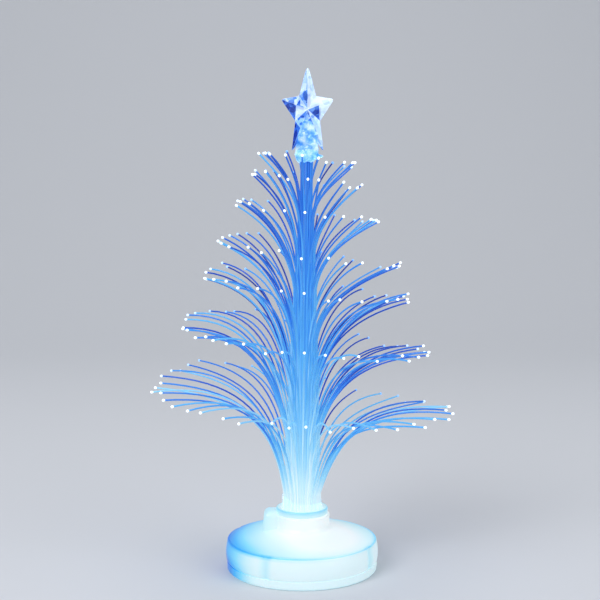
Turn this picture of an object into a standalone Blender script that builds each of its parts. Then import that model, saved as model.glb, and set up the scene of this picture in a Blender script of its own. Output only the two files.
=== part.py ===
"""Small battery-lit fibre optic tree: a round base with its lamp, cells and switch, and a
bundle of plastic fibres that fans out in seven tiers below a clear star.

Metres, +Z up. The origin is the centre of the base's underside, and the front faces -Y.
"""

import math
import random

import bmesh
import bpy
from mathutils import Matrix, Vector

# Overall size
TREE_HEIGHT = 0.120
SPREAD_RADIUS = 0.0370

# Fits and gaps
SEAT_GAP = 0.0002
RUNNING_GAP = 0.00015
CUT_OVERRUN = 0.0006
WELD_DISTANCE = 0.0000005

# Roundness
BASE_SIDES = 40
SMALL_SIDES = 16
SCREW_SIDES = 12
FILLET_STEPS = 3

# Cells, and the room that the base gives them round the lamp
CELL_RADIUS = 0.0058
CELL_HEIGHT = 0.0031
CELL_CAP_RADIUS = 0.0046
CELL_CAP_STEP = 0.00025
CELL_BOTTOM = 0.0018
CELL_AZIMUTHS_DEG = (90.0, 180.0, 270.0)
CELL_TO_LAMP = 0.0002
CELL_TO_SIDE = 0.00375
BAY_WALL = 0.0011
BAY_CLEARANCE = 0.00025
BAY_CENTRE_RADIUS = 0.0042
BAY_RIB_WIDTH = 0.0030
CELL_HEADROOM = 0.0004
CEILING_THICKNESS = 0.0008
STRIP_THICKNESS = 0.00022
STRIP_WIDTH = 0.0024
STRIP_SLOT_GAP = 0.0002
TERMINAL_RISE = 0.0006

# Base shell and tray
WAIST_INSET = 0.00025
RIM_INSET = 0.00035
RIM_OVER_TERMINALS = 0.0005
RIM_ROUND = 0.0004
RIM_LINE_WIDTH = 0.0003
RIM_LINE_DEPTH = 0.0002
CROWN_RISE = 0.0029
SEAM_HEIGHT = 0.0021
SHELL_WALL = 0.0013
TRAY_FLOOR = 0.0012
FOOT_ROUND = 0.0007
SPIGOT_WALL = 0.0009
SPIGOT_HEIGHT = 0.0040
GROOVE_COUNT = 4
GROOVE_WIDTH = 0.0021
GROOVE_DEPTH = 0.0005
GROOVE_PHASE_DEG = -28.0

# Neck and key lug
NECK_WALL = 0.0012
NECK_RISE = 0.0034
NECK_CHAMFER = 0.0003
NECK_FILLET = 0.0012
LEDGE_DEPTH = 0.0035
LUG_REACH = 0.00255
LUG_RISE = 0.00085
LUG_WIDTH = 0.0062
LUG_ROUND = 0.0009
LUG_ROUND_STEPS = 3
LUG_FLARE = 0.0003

# Ferrule in the neck, and the tape round the foot of the bundle
FLANGE_HEIGHT = 0.00165
FLANGE_REACH = 0.00094
FERRULE_WALL = 0.00042
FERRULE_ROUND = 0.00035
WRAP_WALL = 0.00016
WRAP_SHOWN = 0.0030
WRAP_SLANT_DEG = 5.0

# Fibres
FIBRE_RADIUS = 0.00017
LAYER_PITCH = 0.00043
LAYER_GAP = 0.00007
CORE_RADIUS = 0.00158
BUNDLE_FOOT_GAP = 0.0004
BUNDLE_SIDES = 18
STRAND_SIDES = 3
STRAND_ROOT = 0.0004
FAN_GAP = 0.00035
LEAN_GAP = 0.0010
LEAN_REACH = 0.0013

# The tiers, top to bottom. Heights are shares of the way from where the fibres begin to
# fan out up to the top, reaches are shares of the spread's radius, and the rest shapes
# each strand's arch, as shares of the straight line from its root to its tip.
TIER_STRANDS = (18, 20, 23, 27, 31, 40, 45)
TIER_SEGMENTS = (3, 3, 4, 4, 5, 5, 5)
TIER_LEAVE_SHARES = (0.655, 0.578, 0.490, 0.371, 0.263, 0.143, 0.0)
TIER_TIP_SHARES = (0.795, 0.747, 0.674, 0.578, 0.497, 0.374, 0.230)
TIER_REACH_SHARES = (0.324, 0.362, 0.478, 0.622, 0.700, 0.830, 1.0)
TIER_SWAY_SHARES = (0.0, 0.02, 0.02, 0.06, 0.02, 0.015, 0.0)
TIER_TILT_DEG = (5.5, 7.4, 6.5, 8.0, 6.0, 5.6, 4.0)
TIER_LEAVE_DEG = (8.0, 8.0, 9.0, 10.0, 12.0, 14.0, 17.0)
TIER_END_DEG = (42.0, 40.0, 30.0, 20.0, 10.0, 0.0, 0.0)
TIER_RISE_SHARES = (0.36, 0.35, 0.35, 0.34, 0.34, 0.35, 0.45)
TIER_ARCH_SHARES = (0.38, 0.38, 0.40, 0.42, 0.45, 0.50, 0.50)
BACK_TILT_SHARE = 0.16
STRAND_SEED = 31
AZIMUTH_SPREAD_SHARE = 0.10
REACH_SPREAD_SHARE = 0.035
HEIGHT_SPREAD_SHARE = 0.035
DRIFT_SHARE = 0.30
END_SPREAD_DEG = 6.0

# Star topper and its glue
STAR_THICKNESS = 0.0044
STAR_EDGE = 0.0009
STAR_TIP = 0.00965
STAR_ARM = 0.0060
STAR_ARM_RISE = 0.0024
STAR_LEG = 0.00365
STAR_LEG_DROP = 0.0094
STAR_UPPER_NOTCH = 0.0020
STAR_UPPER_NOTCH_RISE = 0.0032
STAR_LOWER_NOTCH = 0.0029
STAR_LOWER_NOTCH_DROP = 0.0026
STAR_CROTCH_DROP = 0.0047
SOCKET_WALL = 0.00042
SOCKET_LENGTH = 0.0094
SOCKET_DEPTH = 0.0060
GLUE_RADIUS = 0.0028
GLUE_HEIGHT = 0.0030
GLUE_FLARE = 0.0012
GLUE_RINGS = 8
GLUE_LUMPS = ((3, 0.08), (5, 0.05))

# Lamp
LED_RADIUS = 0.0025
LED_FLANGE_RADIUS = 0.0029
LED_FLANGE_HEIGHT = 0.0010
LED_BASE = 0.0026
LEAD_RADIUS = 0.00025
LEAD_SPACING = 0.00254
LEAD_SOCKET = 0.0008
LEAD_DROP = 0.0007
LEAD_RISE_X = 0.0034
LEAD_BEND = 0.0004

# Battery door
DOOR_MARGIN = 0.00365
DOOR_RECESS = 0.0003
DOOR_THICKNESS = 0.0010
DOOR_TONGUE_WIDTH = 0.0030
DOOR_TONGUE_REACH = 0.0006
DOOR_TONGUE_THICKNESS = 0.0005
DOOR_SCREW_TO_LAMP = 0.0031
DOOR_BOSS_RADIUS = 0.0022
DOOR_BOSS_HEIGHT = 0.0009
DOOR_BOSS_MARGIN = 0.0001

# Screws
SCREW_HEAD_RADIUS = 0.0016
SCREW_HEAD_HEIGHT = 0.0010
SCREW_SHANK_RADIUS = 0.00075
SCREW_BORE_RADIUS = 0.00092
SCREW_LENGTH = 0.0034
SCREW_TIP = 0.0004
BASE_SCREW_INSET = 0.00425
BASE_SCREW_AZIMUTHS_DEG = (35.0, -35.0)
BASE_SCREW_RECESS = 0.0004
POST_RADIUS = 0.0017
POST_START = 0.0028
TRAY_BOSS_RADIUS = 0.0024
DOOR_POST_RADIUS = 0.0017

# Slide switch
SWITCH_TO_DOOR = 0.00145
SWITCH_SIZE_X = 0.0037
SWITCH_SIZE_Y = 0.0086
SWITCH_HEIGHT = 0.0036
SWITCH_TRAVEL = 0.0020
KNOB_SIZE_X = 0.0015
KNOB_SIZE_Y = 0.0018
KNOB_CLEAR_OF_FLOOR = 0.0003
SLIDER_SIZE_X = 0.0021
SLIDER_SIZE_Y = 0.0028
SLIDER_HEIGHT = 0.0012
SWITCH_PIN_PITCH = 0.0025
SWITCH_PIN_WIDTH = 0.0006
SWITCH_RIB = 0.0008
FINGER_DISH_DEPTH = 0.0005
WIRE_RADIUS = 0.0004
WIRE_BEND = 0.0010

# Radii worked out from the sizes above
BUNDLE_RADIUS = CORE_RADIUS + len(TIER_STRANDS) * LAYER_PITCH
WRAP_INNER = BUNDLE_RADIUS + LAYER_GAP
WRAP_OUTER = WRAP_INNER + WRAP_WALL
FERRULE_BORE = WRAP_OUTER + LAYER_GAP
FERRULE_OUTER = FERRULE_BORE + FERRULE_WALL
FERRULE_FLANGE_RADIUS = FERRULE_OUTER + FLANGE_REACH
NECK_BORE = FERRULE_OUTER + RUNNING_GAP
NECK_RADIUS = NECK_BORE + NECK_WALL
PORT_RADIUS = LED_RADIUS + SHELL_WALL / 2
CELL_CIRCLE = LED_FLANGE_RADIUS + CELL_TO_LAMP + CELL_RADIUS
DOOR_SCREW_X = LED_FLANGE_RADIUS + DOOR_SCREW_TO_LAMP
DOOR_CHORD_X = DOOR_SCREW_X + DOOR_BOSS_RADIUS + DOOR_BOSS_MARGIN
DOOR_OPENING_X = DOOR_CHORD_X + SEAT_GAP
SWITCH_X = DOOR_CHORD_X + SWITCH_TO_DOOR + SWITCH_SIZE_X / 2
SWITCH_CORNER = math.hypot(SWITCH_X + SWITCH_SIZE_X / 2, SWITCH_SIZE_Y / 2)
SIDE_THICKNESS = SHELL_WALL + SEAT_GAP + SPIGOT_WALL
ROOM_FOR_CELLS = CELL_CIRCLE + CELL_RADIUS + CELL_TO_SIDE
ROOM_FOR_SWITCH = SWITCH_CORNER + SEAT_GAP + SIDE_THICKNESS + WAIST_INSET
BASE_RADIUS = max(ROOM_FOR_CELLS, ROOM_FOR_SWITCH)
BASE_WAIST_RADIUS = BASE_RADIUS - WAIST_INSET
RIM_RADIUS = BASE_RADIUS - RIM_INSET
SHELL_INNER = BASE_WAIST_RADIUS - SHELL_WALL
SPIGOT_RADIUS = SHELL_INNER - SEAT_GAP
SPIGOT_INNER = SPIGOT_RADIUS - SPIGOT_WALL
CROWN_FOOT_RADIUS = RIM_RADIUS - RIM_ROUND
CROWN_TOP_RADIUS = NECK_RADIUS + NECK_FILLET
BAY_RADIUS = CELL_RADIUS + BAY_CLEARANCE
BAY_OUTER = BAY_RADIUS + BAY_WALL
DOOR_RADIUS = BASE_RADIUS - DOOR_MARGIN
DOOR_OPENING_RADIUS = DOOR_RADIUS + SEAT_GAP
BASE_SCREW_CIRCLE = BASE_RADIUS - BASE_SCREW_INSET
SOCKET_BORE = CORE_RADIUS + LAYER_GAP
SOCKET_OUTER = SOCKET_BORE + SOCKET_WALL

# Heights and angles worked out from the sizes above
CELL_TOP = CELL_BOTTOM + CELL_HEIGHT
CEILING_LOW = CELL_TOP + CELL_HEADROOM
CEILING_TOP = CEILING_LOW + CEILING_THICKNESS
TERMINAL_HEIGHT = CEILING_TOP + TERMINAL_RISE
RIM_HEIGHT = TERMINAL_HEIGHT + RIM_OVER_TERMINALS
SHELL_BOTTOM = SEAM_HEIGHT + SEAT_GAP
CROWN_FOOT_HEIGHT = RIM_HEIGHT + RIM_ROUND
CROWN_HEIGHT = RIM_HEIGHT + CROWN_RISE
NECK_TOP = CROWN_HEIGHT + NECK_RISE
LEDGE_HEIGHT = NECK_TOP - LEDGE_DEPTH
LED_HEIGHT = LEDGE_HEIGHT - LED_BASE
LUG_TOP = NECK_TOP + LUG_RISE
FERRULE_TOP = NECK_TOP + FLANGE_HEIGHT
WRAP_TOP_BACK = FERRULE_TOP + WRAP_SHOWN
BUNDLE_BOTTOM = LEDGE_HEIGHT + BUNDLE_FOOT_GAP
FAN_START = WRAP_TOP_BACK + FAN_GAP
LEAN_START = WRAP_TOP_BACK + LEAN_GAP
DOOR_TOP = DOOR_RECESS + DOOR_THICKNESS
BAY_FOOT = DOOR_TOP + SEAT_GAP
DOOR_SCREW_HEAD_BASE = DOOR_RECESS + RUNNING_GAP
SWITCH_BOTTOM = TRAY_FLOOR + SEAT_GAP
SWITCH_TOP = SWITCH_BOTTOM + SWITCH_HEIGHT
SLIDER_BOTTOM = SWITCH_BOTTOM + RUNNING_GAP
STAR_CENTRE = TREE_HEIGHT - STAR_TIP
SOCKET_BOTTOM = STAR_CENTRE - SOCKET_LENGTH
GLUE_TOP = SOCKET_BOTTOM - SEAT_GAP
CELL_STEP_DEG = CELL_AZIMUTHS_DEG[1] - CELL_AZIMUTHS_DEG[0]
BRIDGE_AZIMUTHS_DEG = [azimuth + CELL_STEP_DEG / 2 for azimuth in CELL_AZIMUTHS_DEG[:2]]

ROOT = None
PIECES = None
HELPERS = None


def clear_scene():
    for obj in list(bpy.data.objects):
        bpy.data.objects.remove(obj, do_unlink=True)


def make_collections():
    global ROOT, PIECES, HELPERS
    PIECES = bpy.data.collections.new("fibre_optic_tree")
    HELPERS = bpy.data.collections.new("cutters_and_guides")
    for collection in (PIECES, HELPERS):
        bpy.context.scene.collection.children.link(collection)
    ROOT = bpy.data.objects.new("tree_origin", None)
    PIECES.objects.link(ROOT)


def make_helper(obj):
    """Moves an object to the cutters, where it is kept out of renders."""
    for collection in list(obj.users_collection):
        collection.objects.unlink(obj)
    HELPERS.objects.link(obj)
    obj.parent = None
    obj.hide_render = True
    obj.display_type = "WIRE"
    return obj


def add_object(name, data, location=(0, 0, 0)):
    obj = bpy.data.objects.new(name, data)
    obj.location = location
    obj.parent = ROOT
    PIECES.objects.link(obj)
    return obj


def finish(obj, color, roughness, metallic=0.0, transmission=0.0):
    """Gives an object its own Principled BSDF material."""
    material = bpy.data.materials.new(obj.name)
    material.use_nodes = True
    shader = material.node_tree.nodes["Principled BSDF"]
    shader.inputs["Base Color"].default_value = (*color, 1.0)
    shader.inputs["Roughness"].default_value = roughness
    shader.inputs["Metallic"].default_value = metallic
    shader.inputs["Transmission Weight"].default_value = transmission
    material.diffuse_color = (*color, 1.0)
    obj.data.materials.clear()
    obj.data.materials.append(material)
    return obj


def mesh_from(name, bm, location=(0, 0, 0)):
    mesh = bpy.data.meshes.new(name)
    bm.to_mesh(mesh)
    bm.free()
    return add_object(name, mesh, location)


def turned(name, profile, steps, closed=False, location=(0, 0, 0)):
    """A turned piece. The (radius, height) profile runs down the outer side, top to bottom."""
    bm = bmesh.new()
    points = [bm.verts.new((radius, 0, height)) for radius, height in profile]
    for start, end in zip(points, points[1:]):
        bm.edges.new((start, end))
    if closed:
        bm.edges.new((points[-1], points[0]))
    obj = mesh_from(name, bm, location)
    screw = obj.modifiers.new("Turn", "SCREW")
    screw.steps = steps
    screw.render_steps = steps
    screw.use_merge_vertices = True
    screw.merge_threshold = WELD_DISTANCE
    return obj


def box(name, low, high, location=(0, 0, 0)):
    low, high = Vector(low), Vector(high)
    bm = bmesh.new()
    bmesh.ops.create_cube(bm, size=1)
    size = high - low
    bmesh.ops.scale(bm, vec=size, verts=bm.verts)
    bmesh.ops.translate(bm, vec=(low + high) / 2, verts=bm.verts)
    return mesh_from(name, bm, location)


def cylinder(name, radius, low, high, centre=(0, 0), sides=SMALL_SIDES):
    bm = bmesh.new()
    bmesh.ops.create_cone(
        bm,
        cap_ends=True,
        segments=sides,
        radius1=radius,
        radius2=radius,
        depth=high - low,
    )
    bmesh.ops.translate(bm, vec=(*centre, (low + high) / 2), verts=bm.verts)
    return mesh_from(name, bm)


def mesh_of_curve(curve_object):
    """Replaces a curve object by its welded mesh, so that it can be cut or joined."""
    bpy.context.view_layer.update()
    graph = bpy.context.evaluated_depsgraph_get()
    mesh = bpy.data.meshes.new_from_object(curve_object.evaluated_get(graph))
    bm = bmesh.new()
    bm.from_mesh(mesh)
    bmesh.ops.remove_doubles(bm, verts=bm.verts, dist=WELD_DISTANCE)
    bmesh.ops.recalc_face_normals(bm, faces=bm.faces)
    bm.to_mesh(mesh)
    bm.free()
    name, place = curve_object.name, curve_object.matrix_world.copy()
    bpy.data.objects.remove(curve_object, do_unlink=True)
    obj = add_object(name, mesh)
    obj.matrix_world = place
    return obj


def prism(name, outline, low, high):
    """A flat outline in X and Y, from one height to another."""
    curve = bpy.data.curves.new(name, "CURVE")
    curve.dimensions = "2D"
    curve.fill_mode = "BOTH"
    curve.extrude = (high - low) / 2
    spline = curve.splines.new("POLY")
    spline.points.add(len(outline) - 1)
    for point, (x, y) in zip(spline.points, outline):
        point.co = (x, y, 0, 1)
    spline.use_cyclic_u = True
    return mesh_of_curve(add_object(name, curve, (0, 0, (low + high) / 2)))


def tube(name, routes, radius, bevel_resolution=1, profile=None):
    """A wire or a set of wires along lists of points."""
    curve = bpy.data.curves.new(name, "CURVE")
    curve.dimensions = "3D"
    curve.use_fill_caps = True
    if profile is None:
        curve.bevel_depth = radius
        curve.bevel_resolution = bevel_resolution
    else:
        curve.bevel_mode = "OBJECT"
        curve.bevel_object = profile
    for route in routes:
        spline = curve.splines.new("POLY")
        spline.points.add(len(route) - 1)
        for point, place in zip(spline.points, route):
            point.co = (*place, 1)
    return add_object(name, curve)


def rounded_route(corners, bend):
    """Points of a path through the corners, with each corner rounded."""
    corners = [Vector(corner) for corner in corners]
    route = [corners[0]]
    for before, corner, after in zip(corners, corners[1:], corners[2:]):
        start = corner + (before - corner).normalized() * bend
        end = corner + (after - corner).normalized() * bend
        for step in range(FILLET_STEPS):
            share = step / (FILLET_STEPS - 1)
            first = start.lerp(corner, share)
            second = corner.lerp(end, share)
            route.append(first.lerp(second, share))
    route.append(corners[-1])
    return route


def boolean(obj, other, operation):
    make_helper(other)
    modifier = obj.modifiers.new(other.name, "BOOLEAN")
    modifier.operation = operation
    modifier.solver = "EXACT"
    modifier.object = other


def cut(obj, *cutters):
    for cutter in cutters:
        boolean(obj, cutter, "DIFFERENCE")
    return obj


def join(obj, *others):
    for other in others:
        boolean(obj, other, "UNION")
    return obj


def polar(radius, azimuth_deg):
    azimuth = math.radians(azimuth_deg)
    return (radius * math.cos(azimuth), radius * math.sin(azimuth))


def arc(centre, radius, start_deg, end_deg, steps):
    """Points of an arc in a profile's plane or an outline's, both ends included."""
    points = []
    for step in range(steps + 1):
        angle = math.radians(start_deg + (end_deg - start_deg) * step / steps)
        points.append(
            (centre[0] + radius * math.cos(angle), centre[1] + radius * math.sin(angle))
        )
    return points


def crown_height(radius):
    """Height of the base's conical top at a radius."""
    share = (CROWN_FOOT_RADIUS - radius) / (CROWN_FOOT_RADIUS - CROWN_TOP_RADIUS)
    return CROWN_FOOT_HEIGHT + share * (CROWN_HEIGHT - CROWN_FOOT_HEIGHT)


def grooves(name):
    """The cutters of the four upright grooves between the base's side panels."""
    radius = (GROOVE_WIDTH**2 / 4 + GROOVE_DEPTH**2) / (2 * GROOVE_DEPTH)
    circle = BASE_RADIUS - GROOVE_DEPTH + radius
    top = CROWN_FOOT_HEIGHT + CUT_OVERRUN
    for index in range(GROOVE_COUNT):
        azimuth = GROOVE_PHASE_DEG - 90 + index * 360 / GROOVE_COUNT
        yield cylinder(
            f"{name}_{index + 1}", radius, -CUT_OVERRUN, top, polar(circle, azimuth)
        )


def key_lug():
    """The keyed lug on the left of the neck, with rounded upright and top edges."""
    reach = NECK_RADIUS + LUG_REACH
    lug = box(
        "lug",
        (-reach, -LUG_WIDTH / 2, crown_height(reach) - SHELL_WALL / 2),
        (-NECK_BORE - SEAT_GAP, LUG_WIDTH / 2, LUG_TOP),
    )
    for vertex in lug.data.vertices:
        outer_foot = vertex.co.x < -NECK_RADIUS and vertex.co.z < CROWN_HEIGHT
        if outer_foot:
            vertex.co.x -= LUG_FLARE
    bevel = lug.modifiers.new("Round", "BEVEL")
    bevel.width = LUG_ROUND
    bevel.segments = LUG_ROUND_STEPS
    return lug


def base_shell():
    """Upper housing: conical top and its rim line, side panels, neck, ledge, posts."""
    fillet_centre = (CROWN_TOP_RADIUS, CROWN_HEIGHT + NECK_FILLET)
    mid_height = (SEAM_HEIGHT + RIM_HEIGHT) / 2
    inner_top = RIM_HEIGHT - SHELL_WALL
    line_radius = CROWN_FOOT_RADIUS - RIM_LINE_WIDTH
    profile = [
        (NECK_BORE, NECK_TOP),
        (NECK_RADIUS - NECK_CHAMFER, NECK_TOP),
        (NECK_RADIUS, NECK_TOP - NECK_CHAMFER),
        *arc(fillet_centre, NECK_FILLET, 180, 260, FILLET_STEPS),
        (line_radius, crown_height(line_radius)),
        (CROWN_FOOT_RADIUS - RIM_LINE_WIDTH / 2, CROWN_FOOT_HEIGHT - RIM_LINE_DEPTH),
        *arc(
            (RIM_RADIUS - RIM_ROUND, RIM_HEIGHT), RIM_ROUND, 90, 15, FILLET_STEPS - 1
        ),
        (BASE_RADIUS, mid_height),
        (BASE_WAIST_RADIUS, SHELL_BOTTOM),
        (SHELL_INNER, SHELL_BOTTOM),
        (SHELL_INNER, inner_top),
        (SHELL_INNER - SHELL_WALL, crown_height(SHELL_INNER - SHELL_WALL) - SHELL_WALL),
        (NECK_RADIUS, crown_height(NECK_RADIUS) - SHELL_WALL),
        (PORT_RADIUS, crown_height(NECK_RADIUS) - SHELL_WALL),
        (PORT_RADIUS, LEDGE_HEIGHT),
        (NECK_BORE, LEDGE_HEIGHT),
    ]
    shell = turned("base_shell", profile, BASE_SIDES, closed=True)
    join(shell, key_lug())
    cut(
        shell,
        cylinder(
            "flange_seat",
            FERRULE_FLANGE_RADIUS + RUNNING_GAP,
            NECK_TOP,
            LUG_TOP + CUT_OVERRUN,
            sides=BASE_SIDES,
        ),
    )
    for index, azimuth in enumerate(BASE_SCREW_AZIMUTHS_DEG):
        centre = polar(BASE_SCREW_CIRCLE, azimuth)
        top = crown_height(BASE_SCREW_CIRCLE) - SHELL_WALL / 2
        join(
            shell, cylinder(f"shell_post_{index + 1}", POST_RADIUS, POST_START, top, centre)
        )
        bore_top = BASE_SCREW_RECESS + SCREW_HEAD_HEIGHT + SCREW_LENGTH + SEAT_GAP
        cut(
            shell,
            cylinder(
                f"post_bore_{index + 1}",
                SCREW_BORE_RADIUS,
                POST_START - CUT_OVERRUN,
                bore_top,
                centre,
                SCREW_SIDES,
            ),
        )
    cut(shell, *grooves("shell_groove"))
    return finish(shell, (0.93, 0.95, 0.97), 0.35, transmission=0.2)


def door_outline(radius, chord_x):
    """The D shape of the battery door: a circle cut off by a straight side."""
    half = math.degrees(math.acos(chord_x / radius))
    return arc((0, 0), radius, half, 360 - half, BASE_SIDES // 2)


def tongue_cutters(name, reach, width, low, high):
    """The two tongues on the door's round side, or the notches that take them."""
    for index, azimuth in enumerate(BRIDGE_AZIMUTHS_DEG):
        tongue = box(
            f"{name}_{index + 1}",
            (DOOR_RADIUS - DOOR_TONGUE_WIDTH / 2, -width / 2, low),
            (reach, width / 2, high),
        )
        tongue.rotation_euler.z = math.radians(azimuth)
        yield tongue


def cell_centres():
    return [polar(CELL_CIRCLE, azimuth) for azimuth in CELL_AZIMUTHS_DEG]


def bay_block():
    """Walls round each cell, the ceiling over them and the posts that hang from it."""
    block = None
    for index, centre in enumerate(cell_centres()):
        wall = cylinder(
            f"bay_wall_{index + 1}", BAY_OUTER, BAY_FOOT, CEILING_TOP, centre, BASE_SIDES // 2
        )
        if block is None:
            block = wall
        else:
            join(block, wall)
    centre_radius = DOOR_SCREW_X + DOOR_POST_RADIUS
    join(
        block,
        cylinder("bay_roof", centre_radius, CEILING_LOW, CEILING_TOP, sides=BASE_SIDES // 2),
    )
    for index, centre in enumerate(cell_centres()):
        cut(
            block,
            cylinder(
                f"bay_{index + 1}",
                BAY_RADIUS,
                BAY_FOOT - CUT_OVERRUN,
                CEILING_LOW,
                centre,
                BASE_SIDES // 2,
            ),
        )
    cut(
        block,
        cylinder("bay_centre", BAY_CENTRE_RADIUS, BAY_FOOT - CUT_OVERRUN, CEILING_LOW),
    )
    post_low = DOOR_TOP + DOOR_BOSS_HEIGHT + SEAT_GAP
    join(
        block,
        cylinder("door_post", DOOR_POST_RADIUS, post_low, CEILING_TOP, (DOOR_SCREW_X, 0)),
    )
    return block


def bay_ribs():
    """Ribs that carry the bay walls on the spigot, one behind each cell."""
    start = CELL_CIRCLE + BAY_RADIUS + BAY_WALL / 2
    end = SPIGOT_INNER + SPIGOT_WALL / 2
    half = BAY_RIB_WIDTH / 2
    for index, azimuth in enumerate(CELL_AZIMUTHS_DEG):
        rib = box(
            f"bay_rib_{index + 1}", (start, -half, BAY_FOOT), (end, half, SPIGOT_HEIGHT)
        )
        rib.rotation_euler.z = math.radians(azimuth)
        yield rib


def strip_slots():
    """What the contact strips and the lamp's leads need cut out of the tray."""
    gap = STRIP_SLOT_GAP
    half = STRIP_WIDTH / 2 + gap
    thick = STRIP_THICKNESS / 2 + gap
    top = CEILING_TOP + CUT_OVERRUN
    side_x = positive_strip_x()
    yield box(
        "positive_slot",
        (CELL_RADIUS, CELL_CIRCLE - half, BAY_FOOT - CUT_OVERRUN),
        (side_x + thick, CELL_CIRCLE + half, top),
    )
    yield box(
        "negative_slot",
        (negative_tab_x() - thick, -CELL_CIRCLE - half, CEILING_LOW - CUT_OVERRUN),
        (negative_tab_x() + thick, -CELL_CIRCLE + half, top),
    )
    reach = bridge_reach() + gap
    upper, lower = BRIDGE_AZIMUTHS_DEG
    for name, azimuth, low, high in (
        ("bridge_top_slot", upper, CELL_TOP, CEILING_LOW),
        ("bridge_bottom_slot", lower, BAY_FOOT - CUT_OVERRUN, CELL_BOTTOM + SEAT_GAP),
    ):
        slot = box(name, (-half, -reach, low), (half, reach, high))
        slot.location = (*polar(bridge_radius(), azimuth), 0)
        slot.rotation_euler.z = math.radians(azimuth)
        yield slot
    for index, side in enumerate((1, -1)):
        yield cylinder(
            f"lead_hole_{index + 1}",
            LEAD_RADIUS + RUNNING_GAP,
            CEILING_LOW - CUT_OVERRUN,
            top,
            (LEAD_RISE_X, side * LEAD_SPACING / 2),
            SCREW_SIDES,
        )


def base_tray():
    """Lower housing: floor with the door opening, spigot, cell bay, switch seat, bosses."""
    profile = [
        (0, TRAY_FLOOR),
        (SPIGOT_INNER, TRAY_FLOOR),
        (SPIGOT_INNER, SPIGOT_HEIGHT),
        (SPIGOT_RADIUS, SPIGOT_HEIGHT),
        (SPIGOT_RADIUS, SEAM_HEIGHT),
        (BASE_WAIST_RADIUS, SEAM_HEIGHT),
        *arc(
            (BASE_WAIST_RADIUS - FOOT_ROUND, FOOT_ROUND), FOOT_ROUND, 0, -90, FILLET_STEPS
        ),
        (0, 0),
    ]
    tray = turned("base_tray", profile, BASE_SIDES)
    cut(
        tray,
        prism(
            "door_opening",
            door_outline(DOOR_OPENING_RADIUS, DOOR_OPENING_X),
            -CUT_OVERRUN,
            TRAY_FLOOR + CUT_OVERRUN,
        ),
    )
    notch_top = DOOR_RECESS + DOOR_TONGUE_THICKNESS + SEAT_GAP
    cut(
        tray,
        *tongue_cutters(
            "tongue_notch",
            DOOR_RADIUS + DOOR_TONGUE_REACH + SEAT_GAP,
            DOOR_TONGUE_WIDTH + 2 * SEAT_GAP,
            -CUT_OVERRUN,
            notch_top,
        ),
    )
    boss_top = POST_START - SEAT_GAP
    head_top = BASE_SCREW_RECESS + SCREW_HEAD_HEIGHT + RUNNING_GAP
    for index, azimuth in enumerate(BASE_SCREW_AZIMUTHS_DEG):
        centre = polar(BASE_SCREW_CIRCLE, azimuth)
        number = index + 1
        join(tray, cylinder(f"tray_boss_{number}", TRAY_BOSS_RADIUS, 0, boss_top, centre))
        clear_radius = POST_RADIUS + SEAT_GAP
        head_radius = SCREW_HEAD_RADIUS + RUNNING_GAP
        above = SPIGOT_HEIGHT + CUT_OVERRUN
        cut(
            tray,
            cylinder(f"post_clearance_{number}", clear_radius, boss_top, above, centre),
            cylinder(f"head_recess_{number}", head_radius, -CUT_OVERRUN, head_top, centre),
            cylinder(
                f"screw_hole_{number}",
                SCREW_BORE_RADIUS,
                0,
                boss_top + CUT_OVERRUN,
                centre,
                SCREW_SIDES,
            ),
        )
    join(tray, bay_block(), *bay_ribs())
    cut(tray, *strip_slots())
    cut(
        tray,
        cylinder(
            "led_hole",
            LED_RADIUS + RUNNING_GAP,
            CEILING_LOW - CUT_OVERRUN,
            CEILING_TOP + CUT_OVERRUN,
            sides=BASE_SIDES // 2,
        ),
        cylinder(
            "door_screw_bore",
            SCREW_BORE_RADIUS,
            DOOR_TOP,
            DOOR_SCREW_HEAD_BASE + SCREW_HEAD_HEIGHT + SCREW_LENGTH + SEAT_GAP,
            (DOOR_SCREW_X, 0),
            SCREW_SIDES,
        ),
    )
    rib_start = SWITCH_SIZE_Y / 2 + SEAT_GAP
    for index, side in enumerate((1, -1)):
        ends = sorted((side * rib_start, side * (rib_start + SWITCH_RIB)))
        join(
            tray,
            box(
                f"switch_rib_{index + 1}",
                (SWITCH_X - SWITCH_SIZE_X / 2, ends[0], TRAY_FLOOR / 2),
                (SWITCH_X + SWITCH_SIZE_X / 2, ends[1], SPIGOT_HEIGHT),
            ),
        )
    slot_x = KNOB_SIZE_X / 2 + SEAT_GAP
    slot_low = -KNOB_SIZE_Y / 2 - SWITCH_TRAVEL / 2 - SEAT_GAP
    cut(
        tray,
        box(
            "knob_slot",
            (SWITCH_X - slot_x, slot_low, -CUT_OVERRUN),
            (SWITCH_X + slot_x, -slot_low, TRAY_FLOOR + CUT_OVERRUN),
        ),
        box(
            "finger_dish",
            (SWITCH_X - slot_x - SWITCH_RIB, slot_low - SWITCH_RIB, -CUT_OVERRUN),
            (SWITCH_X + slot_x + SWITCH_RIB, SWITCH_RIB - slot_low, FINGER_DISH_DEPTH),
        ),
    )
    cut(tray, *grooves("tray_groove"))
    return finish(tray, (0.92, 0.94, 0.96), 0.4, transmission=0.15)


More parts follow.
